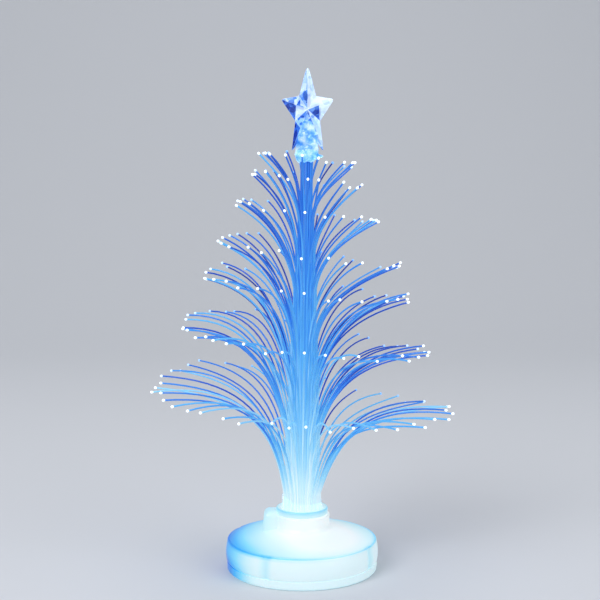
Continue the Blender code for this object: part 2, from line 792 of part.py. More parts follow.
def battery_door():
    """The D-shaped door in the underside, with its screw boss and locating tongues."""
    outline = door_outline(DOOR_RADIUS, DOOR_CHORD_X)
    door = prism("battery_door", outline, DOOR_RECESS, DOOR_TOP)
    boss_top = DOOR_TOP + DOOR_BOSS_HEIGHT
    centre = (DOOR_SCREW_X, 0)
    join(
        door,
        cylinder("door_boss", DOOR_BOSS_RADIUS, DOOR_TOP - DOOR_RECESS, boss_top, centre),
        *tongue_cutters(
            "door_tongue",
            DOOR_RADIUS + DOOR_TONGUE_REACH,
            DOOR_TONGUE_WIDTH,
            DOOR_RECESS,
            DOOR_RECESS + DOOR_TONGUE_THICKNESS,
        ),
    )
    head_radius = SCREW_HEAD_RADIUS + RUNNING_GAP
    head_top = DOOR_SCREW_HEAD_BASE + SCREW_HEAD_HEIGHT + RUNNING_GAP
    cut(
        door,
        cylinder("door_head_recess", head_radius, DOOR_RECESS - CUT_OVERRUN, head_top, centre),
        cylinder(
            "door_screw_hole",
            SCREW_BORE_RADIUS,
            DOOR_RECESS,
            boss_top + CUT_OVERRUN,
            centre,
            SCREW_SIDES,
        ),
    )
    return finish(door, (0.90, 0.92, 0.94), 0.45)


def screw(name, centre, head_base):
    """A pan-head screw driven upwards. Its origin is on its axis, at its head."""
    shank_top = SCREW_HEAD_HEIGHT + SCREW_LENGTH
    profile = [
        (0, shank_top),
        (SCREW_SHANK_RADIUS - SCREW_TIP, shank_top),
        (SCREW_SHANK_RADIUS, shank_top - SCREW_TIP),
        (SCREW_SHANK_RADIUS, SCREW_HEAD_HEIGHT),
        (SCREW_HEAD_RADIUS, SCREW_HEAD_HEIGHT),
        (SCREW_HEAD_RADIUS, SCREW_TIP),
        (SCREW_HEAD_RADIUS - SCREW_TIP, 0),
        (0, 0),
    ]
    obj = turned(name, profile, SCREW_SIDES, location=(*centre, head_base))
    return finish(obj, (0.62, 0.63, 0.65), 0.3, metallic=1.0)


def base_screws():
    for index, azimuth in enumerate(BASE_SCREW_AZIMUTHS_DEG):
        centre = polar(BASE_SCREW_CIRCLE, azimuth)
        screw(f"base_screw_{index + 1}", centre, BASE_SCREW_RECESS)


def button_cells():
    """Three button cells. The middle one lies the other way up, as the series needs."""
    edge = CELL_CAP_STEP
    for index, centre in enumerate(cell_centres()):
        profile = [
            (0, CELL_HEIGHT),
            (CELL_CAP_RADIUS, CELL_HEIGHT),
            (CELL_CAP_RADIUS, CELL_HEIGHT - edge),
            (CELL_RADIUS - edge, CELL_HEIGHT - edge),
            (CELL_RADIUS, CELL_HEIGHT - 2 * edge),
            (CELL_RADIUS, edge),
            (CELL_RADIUS - edge, 0),
            (0, 0),
        ]
        if index == 1:
            profile = [(radius, CELL_HEIGHT - height) for radius, height in profile[::-1]]
        place = (*centre, CELL_BOTTOM)
        cell = turned(
            f"button_cell_{index + 1}", profile, BASE_SIDES // 2, location=place
        )
        finish(cell, (0.75, 0.76, 0.78), 0.25, metallic=1.0)


def positive_strip_x():
    return BAY_RADIUS + STRIP_THICKNESS / 2


def negative_tab_x():
    return CELL_RADIUS - STRIP_THICKNESS


def bridge_radius():
    """Distance from the axis of the point midway between two neighbouring cells."""
    return CELL_CIRCLE * math.cos(math.radians(CELL_STEP_DEG / 2))


def bridge_reach():
    """Half the length of a strip that joins two neighbouring cells."""
    return CELL_CIRCLE * math.sin(math.radians(CELL_STEP_DEG / 2)) + CELL_CAP_RADIUS / 2


def bent_strip(name, path, azimuth_deg, place):
    """A contact strip bent along a path of (distance, height), in an upright plane."""
    half = STRIP_THICKNESS / 2
    offsets = []
    for index, point in enumerate(path):
        before = Vector(path[max(index - 1, 0)])
        after = Vector(path[min(index + 1, len(path) - 1)])
        into = (Vector(point) - before).normalized() if index else None
        out = (after - Vector(point)).normalized() if index < len(path) - 1 else None
        if into is None or out is None:
            along = into or out
            offsets.append(Vector((-along.y, along.x)) * half)
            continue
        along = (into + out).normalized()
        side = Vector((-along.y, along.x))
        corner = side.dot(Vector((-into.y, into.x)))
        offsets.append(side * half / corner)
    left = [Vector(point) + offset for point, offset in zip(path, offsets)]
    right = [Vector(point) - offset for point, offset in zip(path, offsets)]
    strip = prism(name, left + right[::-1], -STRIP_WIDTH / 2, STRIP_WIDTH / 2)
    upright = Matrix.Rotation(math.radians(90), 4, "X")
    turn = Matrix.Rotation(math.radians(azimuth_deg), 4, "Z")
    strip.matrix_world = Matrix.Translation(place) @ turn @ upright
    return finish(strip, (0.80, 0.78, 0.70), 0.3, metallic=1.0)


def contacts():
    """Two end contacts with solder tabs above the bay, and two bridges between cells."""
    leaf = CELL_TOP + STRIP_THICKNESS
    rest = CEILING_LOW - STRIP_THICKNESS
    bow = STRIP_THICKNESS / 2
    tab_x = negative_tab_x()
    bent_strip(
        "contact_negative",
        [(-CELL_CAP_RADIUS / 2, rest), (0, leaf), (CELL_CAP_RADIUS / 2, rest), (tab_x, rest),
         (tab_x, TERMINAL_HEIGHT)],
        0,
        (0, -CELL_CIRCLE, 0),
    )
    bent_strip(
        "contact_positive",
        [(0, CELL_BOTTOM + bow), (-bow, CELL_BOTTOM + CELL_HEIGHT / 2), (0, CELL_TOP),
         (0, TERMINAL_HEIGHT)],
        0,
        (positive_strip_x(), CELL_CIRCLE, 0),
    )
    reach = bridge_reach()
    bridge_path = [(-reach, leaf), (-reach / 2, rest), (reach / 2, rest), (reach, leaf)]
    upper, lower = BRIDGE_AZIMUTHS_DEG
    place = (*polar(bridge_radius(), upper), 0)
    bent_strip("series_bridge_top", bridge_path, upper + 90, place)
    low = DOOR_TOP + SEAT_GAP / 2 + STRIP_THICKNESS / 2
    bent_strip(
        "series_bridge_bottom",
        [(-reach, low), (reach, low)],
        lower + 90,
        (*polar(bridge_radius(), lower), 0),
    )


def led_lamp():
    """A 5 mm lamp with a domed top, a flange, and sockets that its leads come out of."""
    top = LED_BASE + LED_HEIGHT
    dome_centre = (0, top - LED_RADIUS)
    profile = [
        (0, top),
        *arc(dome_centre, LED_RADIUS, 75, 0, FILLET_STEPS + 1),
        (LED_RADIUS, LED_BASE + LED_FLANGE_HEIGHT),
        (LED_FLANGE_RADIUS, LED_BASE + LED_FLANGE_HEIGHT),
        (LED_FLANGE_RADIUS, LED_BASE),
        (0, LED_BASE),
    ]
    lamp = turned("led_lamp", profile, SMALL_SIDES)
    for index, side in enumerate((1, -1)):
        cut(
            lamp,
            cylinder(
                f"lead_socket_{index + 1}",
                LEAD_RADIUS + LAYER_GAP,
                LED_BASE - CUT_OVERRUN,
                LED_BASE + LEAD_SOCKET,
                (0, side * LEAD_SPACING / 2),
                SCREW_SIDES,
            ),
        )
    return finish(lamp, (0.85, 0.92, 1.0), 0.05, transmission=0.9)


def leads_and_wires():
    """The lamp's two bent leads, and the wire from the cells to the switch."""
    low = LED_BASE - LEAD_DROP
    over = TERMINAL_HEIGHT - LEAD_RADIUS
    start = LED_BASE + LEAD_SOCKET - LAYER_GAP
    side = LEAD_SPACING / 2
    strip_face = positive_strip_x() - STRIP_THICKNESS / 2 - LEAD_RADIUS - RUNNING_GAP
    anode = [
        (0, side, start),
        (0, side, low),
        (LEAD_RISE_X, side, low),
        (LEAD_RISE_X, side, over),
        (strip_face, CELL_CIRCLE - STRIP_WIDTH / 2, over),
        (strip_face, CELL_CIRCLE + STRIP_WIDTH / 4, over),
    ]
    pin_face = SWITCH_X - SWITCH_PIN_WIDTH / 2 - RUNNING_GAP
    cathode = [
        (0, -side, start),
        (0, -side, low),
        (LEAD_RISE_X, -side, low),
        (LEAD_RISE_X, -side, over),
        (pin_face - LEAD_RISE_X, 0, over),
        (pin_face, 0, over),
    ]
    for name, corners in (("led_lead_anode", anode), ("led_lead_cathode", cathode)):
        lead = tube(name, [rounded_route(corners, LEAD_BEND)], LEAD_RADIUS)
        finish(lead, (0.80, 0.80, 0.80), 0.3, metallic=1.0)
    tab_face = negative_tab_x() + STRIP_THICKNESS / 2 + RUNNING_GAP
    over = TERMINAL_HEIGHT - WIRE_RADIUS / 2
    wire = [
        (tab_face, -CELL_CIRCLE, over),
        (tab_face + STRIP_WIDTH, -CELL_CIRCLE, over),
        (pin_face - STRIP_WIDTH, -SWITCH_PIN_PITCH, over),
        (pin_face, -SWITCH_PIN_PITCH, over),
    ]
    cable = tube("wire_negative", [rounded_route(wire, WIRE_BEND)], WIRE_RADIUS)
    finish(cable, (0.03, 0.03, 0.035), 0.5)


def slide_switch():
    """The switch's body, hollow for its slider, and the knob that moves in the floor slot."""
    half_x, half_y = SWITCH_SIZE_X / 2, SWITCH_SIZE_Y / 2
    body = box(
        "slide_switch_body",
        (SWITCH_X - half_x, -half_y, SWITCH_BOTTOM),
        (SWITCH_X + half_x, half_y, SWITCH_TOP),
    )
    for index in (-1, 0, 1):
        pin_half = SWITCH_PIN_WIDTH / 2
        y = index * SWITCH_PIN_PITCH
        join(
            body,
            box(
                f"switch_pin_{index + 2}",
                (SWITCH_X - pin_half, y - pin_half, SWITCH_TOP - CUT_OVERRUN),
                (SWITCH_X + pin_half, y + pin_half, TERMINAL_HEIGHT),
            ),
        )
    hollow_x = SLIDER_SIZE_X / 2 + RUNNING_GAP
    hollow_y = SLIDER_SIZE_Y / 2 + SWITCH_TRAVEL / 2 + SEAT_GAP
    hollow_top = SLIDER_BOTTOM + SLIDER_HEIGHT + RUNNING_GAP
    cut(
        body,
        box(
            "switch_hollow",
            (SWITCH_X - hollow_x, -hollow_y, SWITCH_BOTTOM - CUT_OVERRUN),
            (SWITCH_X + hollow_x, hollow_y, hollow_top),
        ),
    )
    finish(body, (0.70, 0.71, 0.73), 0.35, metallic=1.0)
    on_y = -SWITCH_TRAVEL / 2
    knob = box(
        "slide_switch_knob",
        (-KNOB_SIZE_X / 2, -KNOB_SIZE_Y / 2, KNOB_CLEAR_OF_FLOOR),
        (KNOB_SIZE_X / 2, KNOB_SIZE_Y / 2, SLIDER_BOTTOM + SLIDER_HEIGHT / 2),
        (SWITCH_X, on_y, 0),
    )
    slider = box(
        "slider",
        (-SLIDER_SIZE_X / 2, -SLIDER_SIZE_Y / 2, SLIDER_BOTTOM),
        (SLIDER_SIZE_X / 2, SLIDER_SIZE_Y / 2, SLIDER_BOTTOM + SLIDER_HEIGHT),
        (SWITCH_X, on_y, 0),
    )
    join(knob, slider)
    return finish(knob, (0.05, 0.05, 0.055), 0.5)


def fibre_ferrule():
    """Bushing that holds the bundle in the neck. Its flange is the ring on the neck."""
    flange_low = NECK_TOP + SEAT_GAP
    shoulder = FERRULE_TOP - FERRULE_ROUND
    profile = [
        (FERRULE_BORE, FERRULE_TOP),
        *arc(
            (FERRULE_FLANGE_RADIUS - FERRULE_ROUND, shoulder), FERRULE_ROUND, 90, 0, 2
        ),
        (FERRULE_FLANGE_RADIUS, flange_low),
        (FERRULE_OUTER, flange_low),
        (FERRULE_OUTER, LEDGE_HEIGHT + SEAT_GAP),
        (FERRULE_BORE, LEDGE_HEIGHT + SEAT_GAP),
    ]
    ferrule = turned("fibre_ferrule", profile, BASE_SIDES, closed=True)
    return finish(ferrule, (0.90, 0.95, 1.0), 0.3, transmission=0.4)


def bundle_wrap():
    """Clear tape round the foot of the bundle. Its upper edge is cut at a slant."""
    profile = [
        (WRAP_INNER, WRAP_TOP_BACK),
        (WRAP_OUTER, WRAP_TOP_BACK),
        (WRAP_OUTER, BUNDLE_BOTTOM),
        (WRAP_INNER, BUNDLE_BOTTOM),
    ]
    wrap = turned("bundle_wrap", profile, BUNDLE_SIDES, closed=True)
    slant = math.radians(WRAP_SLANT_DEG)
    depth = 2 * WRAP_OUTER
    knife = box("wrap_knife", (-depth, -depth, 0), (depth, depth, depth))
    knife.location = (0, 0, WRAP_TOP_BACK - WRAP_OUTER * math.tan(slant))
    knife.rotation_euler = (0, slant, 0)
    cut(wrap, knife)
    return finish(wrap, (0.85, 0.92, 1.0), 0.15, transmission=0.6)


def lean(height):
    """How far the bundle has leant to the right at a height."""
    share = (height - LEAN_START) / (STAR_CENTRE - LEAN_START)
    return LEAN_REACH * max(share, 0)


def lean_mesh(obj):
    for vertex in obj.data.vertices:
        vertex.co.x += lean(vertex.co.z)


def layered_sleeve(name, inner, outer, top):
    """One closed layer of fibres, side by side round the bundle, up to where it fans out."""
    heights = [top, BUNDLE_BOTTOM]
    if top > LEAN_START:
        heights.insert(1, LEAN_START)
    profile = [(outer, height) for height in heights]
    profile += [(inner, height) for height in heights[::-1]]
    sleeve = applied(turned(name, profile, BUNDLE_SIDES, closed=True))
    lean_mesh(sleeve)
    return sleeve


def flat_sided(radius, azimuth):
    """Distance to the side of the bundle's polygon at an azimuth, for a corner radius."""
    side = math.tau / BUNDLE_SIDES
    off_middle = azimuth % side - side / 2
    return radius * math.cos(side / 2) / math.cos(off_middle)


def tier_height(share):
    """A height between where the fibres begin to fan out and the tree's top."""
    return FAN_START + share * (TREE_HEIGHT - FAN_START)


def strand_route(tier, index, chance):
    """Points of one fibre, from inside its layer's wall out to its tip."""
    count = TIER_STRANDS[tier]
    shift = chance.uniform(-AZIMUTH_SPREAD_SHARE, AZIMUTH_SPREAD_SHARE)
    azimuth = math.tau * (index + shift) / count
    drift = math.tau / count * chance.uniform(-DRIFT_SHARE, DRIFT_SHARE)
    outer = CORE_RADIUS + (tier + 1) * LAYER_PITCH
    root = flat_sided(outer - (LAYER_PITCH - LAYER_GAP) / 2, azimuth)
    leave = tier_height(TIER_LEAVE_SHARES[tier])
    reach = TIER_REACH_SHARES[tier] * SPREAD_RADIUS
    reach *= 1 - chance.uniform(0, 2 * REACH_SPREAD_SHARE)
    reach *= 1 + TIER_SWAY_SHARES[tier] * math.cos(azimuth)
    rise = tier_height(TIER_TIP_SHARES[tier]) - leave
    rise *= 1 + chance.uniform(-HEIGHT_SPREAD_SHARE, HEIGHT_SPREAD_SHARE)
    tilt = math.tan(math.radians(TIER_TILT_DEG[tier]))
    tilt += BACK_TILT_SHARE * max(math.sin(azimuth), 0)
    rise -= reach * math.cos(azimuth) * tilt
    end = TIER_END_DEG[tier] + chance.uniform(-END_SPREAD_DEG, END_SPREAD_DEG)
    end = math.radians(end)
    chord = math.hypot(reach - root, rise)
    away = math.radians(TIER_LEAVE_DEG[tier])
    first = Vector((root, leave))
    up = Vector((math.sin(away), math.cos(away))) * chord * TIER_RISE_SHARES[tier]
    back = Vector((math.cos(end), math.sin(end))) * chord * TIER_ARCH_SHARES[tier]
    last = Vector((reach, leave + rise))
    cage = (first, first + up, last - back, last)
    route = [place_on_strand(root, leave - STRAND_ROOT, azimuth)]
    segments = TIER_SEGMENTS[tier]
    for step in range(1, segments + 1):
        share = step / segments
        radius, height = bezier(cage, share)
        route.append(place_on_strand(radius, height, azimuth + drift * share**2))
    return route


def place_on_strand(radius, height, azimuth):
    x = radius * math.cos(azimuth) + lean(height)
    return (x, radius * math.sin(azimuth), height)


def bezier(cage, share):
    rest = 1 - share
    weights = (rest**3, 3 * share * rest**2, 3 * share**2 * rest, share**3)
    return sum((point * weight for point, weight in zip(cage, weights)), Vector((0, 0)))


def strand_profile():
    """The small cross-section that every modelled strand shares."""
    curve = bpy.data.curves.new("strand_profile", "CURVE")
    curve.dimensions = "2D"
    spline = curve.splines.new("POLY")
    spline.points.add(STRAND_SIDES - 1)
    for side, point in enumerate(spline.points):
        angle = math.tau * side / STRAND_SIDES
        point.co = (FIBRE_RADIUS * math.cos(angle), FIBRE_RADIUS * math.sin(angle), 0, 1)
    spline.use_cyclic_u = True
    return make_helper(add_object("strand_profile", curve))


def fibre_tiers():
    """Seven nested layers of the bundle. Each ends in its own ring of arching strands."""
    profile = strand_profile()
    for tier in range(len(TIER_STRANDS)):
        chance = random.Random(STRAND_SEED + tier)
        inner = CORE_RADIUS + tier * LAYER_PITCH + LAYER_GAP
        outer = CORE_RADIUS + (tier + 1) * LAYER_PITCH
        number = tier + 1
        top = tier_height(TIER_LEAVE_SHARES[tier])
        sleeve = layered_sleeve(f"fibre_tier_{number}", inner, outer, top)
        routes = [strand_route(tier, index, chance) for index in range(TIER_STRANDS[tier])]
        strands = mesh_of_curve(tube(f"strands_{number}", routes, 0, profile=profile))
        join(sleeve, strands)
        white = tier / (len(TIER_STRANDS) - 1)
        finish(sleeve, (0.35 + 0.3 * white, 0.55 + 0.25 * white, 1.0), 0.2)


def fibre_core():
    """The fibres in the middle of the bundle, which end inside the star's socket."""
    top = SOCKET_BOTTOM + SOCKET_DEPTH - SEAT_GAP
    profile = [
        (0, top),
        (CORE_RADIUS, top),
        (CORE_RADIUS, LEAN_START),
        (CORE_RADIUS, BUNDLE_BOTTOM),
        (0, BUNDLE_BOTTOM),
    ]
    core = applied(turned("fibre_core", profile, BUNDLE_SIDES))
    lean_mesh(core)
    return finish(core, (0.6, 0.75, 1.0), 0.2)


def applied(obj):
    """The same object with its modifiers made into its mesh."""
    bpy.context.view_layer.update()
    graph = bpy.context.evaluated_depsgraph_get()
    mesh = bpy.data.meshes.new_from_object(obj.evaluated_get(graph))
    obj.modifiers.clear()
    obj.data = mesh
    return obj


def star_outline():
    """Right half of the star, from its top tip down to the notch between its legs."""
    return [
        (0, STAR_TIP),
        (STAR_UPPER_NOTCH, STAR_UPPER_NOTCH_RISE),
        (STAR_ARM, STAR_ARM_RISE),
        (STAR_LOWER_NOTCH, -STAR_LOWER_NOTCH_DROP),
        (STAR_LEG, -STAR_LEG_DROP),
        (0, -STAR_CROTCH_DROP),
    ]


def star_topper():
    """A faceted clear star, ridged from its middle to each tip, on a tubular socket."""
    right = star_outline()
    rim = right + [(-x, y) for x, y in right[-2:0:-1]]
    bm = bmesh.new()
    bmesh.ops.create_circle(bm, cap_ends=True, cap_tris=True, segments=len(rim), radius=1)
    middle = min(bm.verts, key=lambda vertex: vertex.co.length)
    others = [vertex for vertex in bm.verts if vertex is not middle]
    others.sort(key=lambda vertex: math.atan2(vertex.co.x, vertex.co.y) % math.tau)
    for vertex, (x, y) in zip(others, rim):
        vertex.co = (x, y, STAR_EDGE / 2)
    middle.co = (0, 0, STAR_THICKNESS / 2)
    edges = [edge for edge in bm.edges if len(edge.link_faces) == 1]
    grown = bmesh.ops.extrude_edge_only(bm, edges=edges)
    for vertex in grown["geom"]:
        if isinstance(vertex, bmesh.types.BMVert):
            vertex.co.z = 0
    bmesh.ops.recalc_face_normals(bm, faces=bm.faces)
    star = mesh_from("star_topper", bm, (lean(STAR_CENTRE), 0, STAR_CENTRE))
    star.rotation_euler.x = math.radians(90)
    mirror = star.modifiers.new("Back", "MIRROR")
    mirror.use_axis = (False, False, True)
    mirror.merge_threshold = WELD_DISTANCE
    centre_x = lean(STAR_CENTRE)
    bore_top = SOCKET_BOTTOM + SOCKET_DEPTH
    socket = cylinder(
        "socket", SOCKET_OUTER, SOCKET_BOTTOM, STAR_CENTRE, (centre_x, 0), BUNDLE_SIDES
    )
    bore = cylinder(
        "socket_bore",
        SOCKET_BORE + lean(bore_top) - lean(SOCKET_BOTTOM),
        SOCKET_BOTTOM - STAR_LEG_DROP,
        bore_top,
        ((lean(bore_top) + lean(SOCKET_BOTTOM)) / 2, 0),
        BUNDLE_SIDES,
    )
    join(star, socket)
    cut(star, bore)
    return finish(star, (0.92, 0.96, 1.0), 0.05, transmission=0.95)


def star_glue():
    """A blob of glue round the fibres, under the socket, with a run on its right side."""
    bm = bmesh.new()
    bmesh.ops.create_uvsphere(bm, u_segments=SMALL_SIDES, v_segments=GLUE_RINGS, radius=1)
    middle = GLUE_TOP - GLUE_HEIGHT / 2
    for vertex in bm.verts:
        x, y, z = vertex.co
        azimuth = math.atan2(y, x)
        run = max(math.cos(azimuth), 0) ** 4 * (1 - z * z)
        lumps = 1 + sum(share * math.sin(waves * azimuth) for waves, share in GLUE_LUMPS)
        grown = GLUE_RADIUS * lumps + GLUE_FLARE * run
        vertex.co = (x * grown, y * grown, z * GLUE_HEIGHT / 2)
    bmesh.ops.translate(bm, vec=(lean(middle), 0, middle), verts=bm.verts)
    glue = mesh_from("star_glue", bm)
    hole = cylinder(
        "glue_hole",
        SOCKET_BORE,
        middle - GLUE_HEIGHT,
        middle + GLUE_HEIGHT,
        (lean(middle), 0),
        BUNDLE_SIDES,
    )
    cut(glue, hole)
    return finish(glue, (0.88, 0.93, 1.0), 0.25, transmission=0.5)


def assemble():
    clear_scene()
    make_collections()
    base_shell()
    base_tray()
    door = battery_door()
    door_screw = screw("battery_door_screw", (DOOR_SCREW_X, 0), DOOR_SCREW_HEAD_BASE)
    base_screws()
    button_cells()
    contacts()
    led_lamp()
    leads_and_wires()
    slide_switch()
    fibre_ferrule()
    bundle_wrap()
    fibre_core()
    fibre_tiers()
    star_topper()
    star_glue()
    bpy.context.view_layer.update()
    for rider in (door_screw, bpy.data.objects["series_bridge_bottom"]):
        place = rider.matrix_world.copy()
        rider.parent = door
        rider.matrix_world = place


assemble()
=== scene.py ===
"""Looks for the small fibre optic table tree, built round its CAD frame.

Metres, +Z up. The front faces -Y. Fibres, housing, star, glue and screws are made here as
finer pieces in the places of their CAD solids, and the other nodes get their own materials.
A glow from 0 to 1, written on each lit piece, says how much of the lamp's light it carries.
"""

import random
from math import atan2, cos, degrees, exp, hypot, pi, radians, sin, tan, tau

import bmesh
import bpy
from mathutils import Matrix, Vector, noise


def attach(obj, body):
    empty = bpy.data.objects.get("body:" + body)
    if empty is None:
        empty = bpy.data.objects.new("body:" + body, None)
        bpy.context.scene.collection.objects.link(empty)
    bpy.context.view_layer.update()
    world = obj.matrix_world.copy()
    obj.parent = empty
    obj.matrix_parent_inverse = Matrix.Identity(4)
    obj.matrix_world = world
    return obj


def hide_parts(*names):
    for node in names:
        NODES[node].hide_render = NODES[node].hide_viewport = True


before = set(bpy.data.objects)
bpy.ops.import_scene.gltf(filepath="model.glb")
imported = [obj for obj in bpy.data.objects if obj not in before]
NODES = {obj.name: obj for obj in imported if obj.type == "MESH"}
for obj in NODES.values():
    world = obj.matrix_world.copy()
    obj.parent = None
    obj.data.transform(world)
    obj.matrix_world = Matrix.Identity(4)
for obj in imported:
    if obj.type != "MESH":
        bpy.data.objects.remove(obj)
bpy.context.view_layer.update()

# Sizes shared with the CAD source
TREE_HEIGHT = 0.120
SPREAD_RADIUS = 0.0370
BASE_RADIUS = 0.01845
WAIST_RADIUS = 0.0182
RIM_RADIUS = 0.0181
RIM_HEIGHT = 0.0072
CROWN_HEIGHT = 0.0101
SHELL_BOTTOM = 0.0022
SHELL_WALL = 0.0013
NECK_RADIUS = 0.00666
NECK_BORE = 0.00546
NECK_TOP = 0.0135
LEDGE_HEIGHT = 0.0100
PORT_RADIUS = 0.00315
LUG_REACH = 0.00921
LUG_TOP = 0.01435
LUG_WIDTH = 0.0062
FLANGE_RADIUS = 0.00625
FLANGE_BOTTOM = 0.0137
FERRULE_TOP = 0.01515
FERRULE_OUTER = 0.00531
FERRULE_BORE = 0.00489
WRAP_OUTER = 0.00482
WRAP_TOP = 0.01815
BUNDLE_BOTTOM = 0.0104
FAN_START = 0.0185
LEAN_START = 0.01915
LEAN_REACH = 0.0013
STAR_CENTRE = 0.11035
CORE_RADIUS = 0.00158
LAYER_PITCH = 0.00043
LAYER_GAP = 0.00007
BUNDLE_SIDES = 18
GROOVE_WIDTH = 0.0029
GROOVE_DEPTH = 0.00045
GROOVE_COUNT = 4
GROOVE_PHASE_DEG = -28.0
LINE_RADIUS = 0.01782
LINE_HEIGHT = 0.00742

# Fineness of turned and rounded pieces, what counts as a sliver, and how far a cutter overruns
RING_STEPS = 192
BOX_ROUND_STEPS = 8
SLIVER = 0.000003
OVERRUN = 0.001
NEAR_AXIS = 0.0001

# The tint of the star's acrylic and of the glue
CLEAR_TINT = (0.62, 0.80, 1.0)

# Fine grain on every matt surface
GRAIN_DETAIL = 3.0
GRAIN_BUMP = 0.0001


# Numbers


def clamp(value, low=0.0, high=1.0):
    return min(max(value, low), high)


def eased(share):
    """A share that leaves 0 and reaches 1 gently."""
    return share * share * (3 - 2 * share)


def polar(radius, azimuth):
    return radius * cos(azimuth), radius * sin(azimuth)


def stepped(value, table):
    """The table's second column at a value of its first, between its rows."""
    for (low, first), (high, second) in zip(table, table[1:]):
        if value <= high:
            share = max((value - low) / (high - low), 0)
            return first + (second - first) * share
    return table[-1][1]


# Materials


def node_material(name, color, roughness, **values):
    """A Principled material. values are sockets of the shader by name."""
    material = bpy.data.materials.new(name)
    material.use_nodes = True
    shader = shader_of(material)
    shader.inputs["Base Color"].default_value = (*color, 1)
    shader.inputs["Roughness"].default_value = roughness
    for socket, value in values.items():
        shader.inputs[socket.replace("_", " ")].default_value = value
    return material


def clear_plastic(name, color, roughness, clearness, ior, light):
    """Clear plastic: how much light passes, how it bends there, and how much it gives off."""
    values = {"Transmission_Weight": clearness, "IOR": ior, "Emission_Strength": light}
    return node_material(name, color, roughness, **values)


def shader_of(material):
    return material.node_tree.nodes["Principled BSDF"]


def add(material, kind, **values):
    """A new node, with values for its sockets and settings."""
    node = material.node_tree.nodes.new(kind)
    for key, value in values.items():
        if key in node.inputs:
            node.inputs[key].default_value = value
        else:
            setattr(node, key, value)
    return node


def link(out, into):
    """Links two sockets, in the tree that holds them."""
    out.id_data.links.new(out, into)


def map_range(material, value, source, target, interpolation="LINEAR"):
    """Maps a value from one range to another, and keeps it in that range."""
    node = add(material, "ShaderNodeMapRange", interpolation_type=interpolation)
    sockets = ("From Min", "From Max", "To Min", "To Max")
    for socket, number in zip(sockets, (*source, *target)):
        node.inputs[socket].default_value = number
    link(value, node.inputs["Value"])
    return node.outputs["Result"]


def number_math(material, operation, first, second):
    node = add(material, "ShaderNodeMath", operation=operation)
    link(first, node.inputs[0])
    link(second, node.inputs[1])
    return node.outputs["Value"]


def vector_math(material, operation, vector, other=None):
    """Works on a vector, with another that is fixed where the operation takes two."""
    node = add(material, "ShaderNodeVectorMath", operation=operation)
    link(vector, node.inputs[0])
    if other:
        node.inputs[1].default_value = other
    gives_number = operation in ("LENGTH", "DOT_PRODUCT")
    return node.outputs["Value" if gives_number else "Vector"]


def grain(material, scale, bump, rough_low, rough_high):
    """Fine unevenness: a little bump and a roughness that varies."""
    spots = add(material, "ShaderNodeTexCoord").outputs["Object"]
    speckle = add(material, "ShaderNodeTexNoise", Scale=scale, Detail=GRAIN_DETAIL)
    link(spots, speckle.inputs["Vector"])
    bumps = add(material, "ShaderNodeBump", Strength=bump, Distance=GRAIN_BUMP)
    link(speckle.outputs["Fac"], bumps.inputs["Height"])
    link(bumps.outputs["Normal"], shader_of(material).inputs["Normal"])
    rough = map_range(material, speckle.outputs["Fac"], (0, 1), (rough_low, rough_high))
    link(rough, shader_of(material).inputs["Roughness"])
    return material


def ramp(material, value, stops):
    """A colour ramp over a 0 to 1 value."""
    node = add(material, "ShaderNodeValToRGB")
    elements = node.color_ramp.elements
    while len(elements) < len(stops):
        elements.new(0.5)
    for element, (position, color) in zip(elements, stops):
        element.position = position
        element.color = (*color, 1)
    link(value, node.inputs["Fac"])
    return node.outputs["Color"]


def lit_by(material, glow, light_stops, base_stops=None):
    """Colours a material's light and its surface by a glow."""
    color = ramp(material, glow, light_stops)
    link(color, shader_of(material).inputs["Emission Color"])
    if base_stops:
        color = ramp(material, glow, base_stops)
    link(color, shader_of(material).inputs["Base Color"])
    return material


def written_glow(material):
    """The glow that write_glow leaves on a piece."""
    return add(material, "ShaderNodeAttribute", attribute_name="glow").outputs["Fac"]


# Meshes


def make_object(name, data):
    obj = bpy.data.objects.new(name, data)
    bpy.context.scene.collection.objects.link(obj)
    return obj


def mesh_object(name, points, faces, materials, kinds=None):
    """A mesh from points and faces. kinds gives each face its material's number."""
    mesh = bpy.data.meshes.new(name)
    mesh.from_pydata([tuple(map(float, point)) for point in points], [], faces)
    for material in materials:
        mesh.materials.append(material)
    if kinds is not None:
        mesh.polygons.foreach_set("material_index", kinds)
    mesh.validate()
    return make_object(name, mesh)


def write_glow(obj, glows, domain="POINT"):
    """Writes how much light reaches each point or face of a piece, for its material."""
    layer = obj.data.attributes.new("glow", "FLOAT", domain)
    layer.data.foreach_set("value", [clamp(glow) for glow in glows])


def smooth(obj, angle_deg=35.0):
    obj.data.shade_smooth()
    obj.data.set_sharp_from_angle(angle=radians(angle_deg))
    return obj


def put(piece, body, node):
    """Puts a finished piece on its body, in the place of its CAD node."""
    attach(piece, body)
    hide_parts(node)


def arc(centre, radius, start_deg, end_deg, steps):
    points = []
    for step in range(steps + 1):
        across, up = polar(radius, radians(start_deg + (end_deg - start_deg) * step / steps))
        points.append((centre[0] + across, centre[1] + up))
    return points


def ring_faces(gaps, rings, per_ring, start=0):
    """The faces in the gaps between closed rings of points. The last leads on to the first."""
    faces = []
    for ring in range(gaps):
        here = start + ring * per_ring
        there = start + (ring + 1) % rings * per_ring
        for index in range(per_ring):
            after = (index + 1) % per_ring
            faces.append((here + index, here + after, there + after, there + index))
    return faces


def turned(name, profile, materials, steps=RING_STEPS, change=None):
    """A closed (radius, height) profile turned round the axis. change moves single points."""
    points = []
    for step in range(steps):
        azimuth = tau * step / steps
        for radius, height in profile:
            if change:
                radius, height = change(radius, height, azimuth)
            points.append((*polar(radius, azimuth), height))
    return mesh_object(name, points, ring_faces(steps, steps, len(profile)), materials)


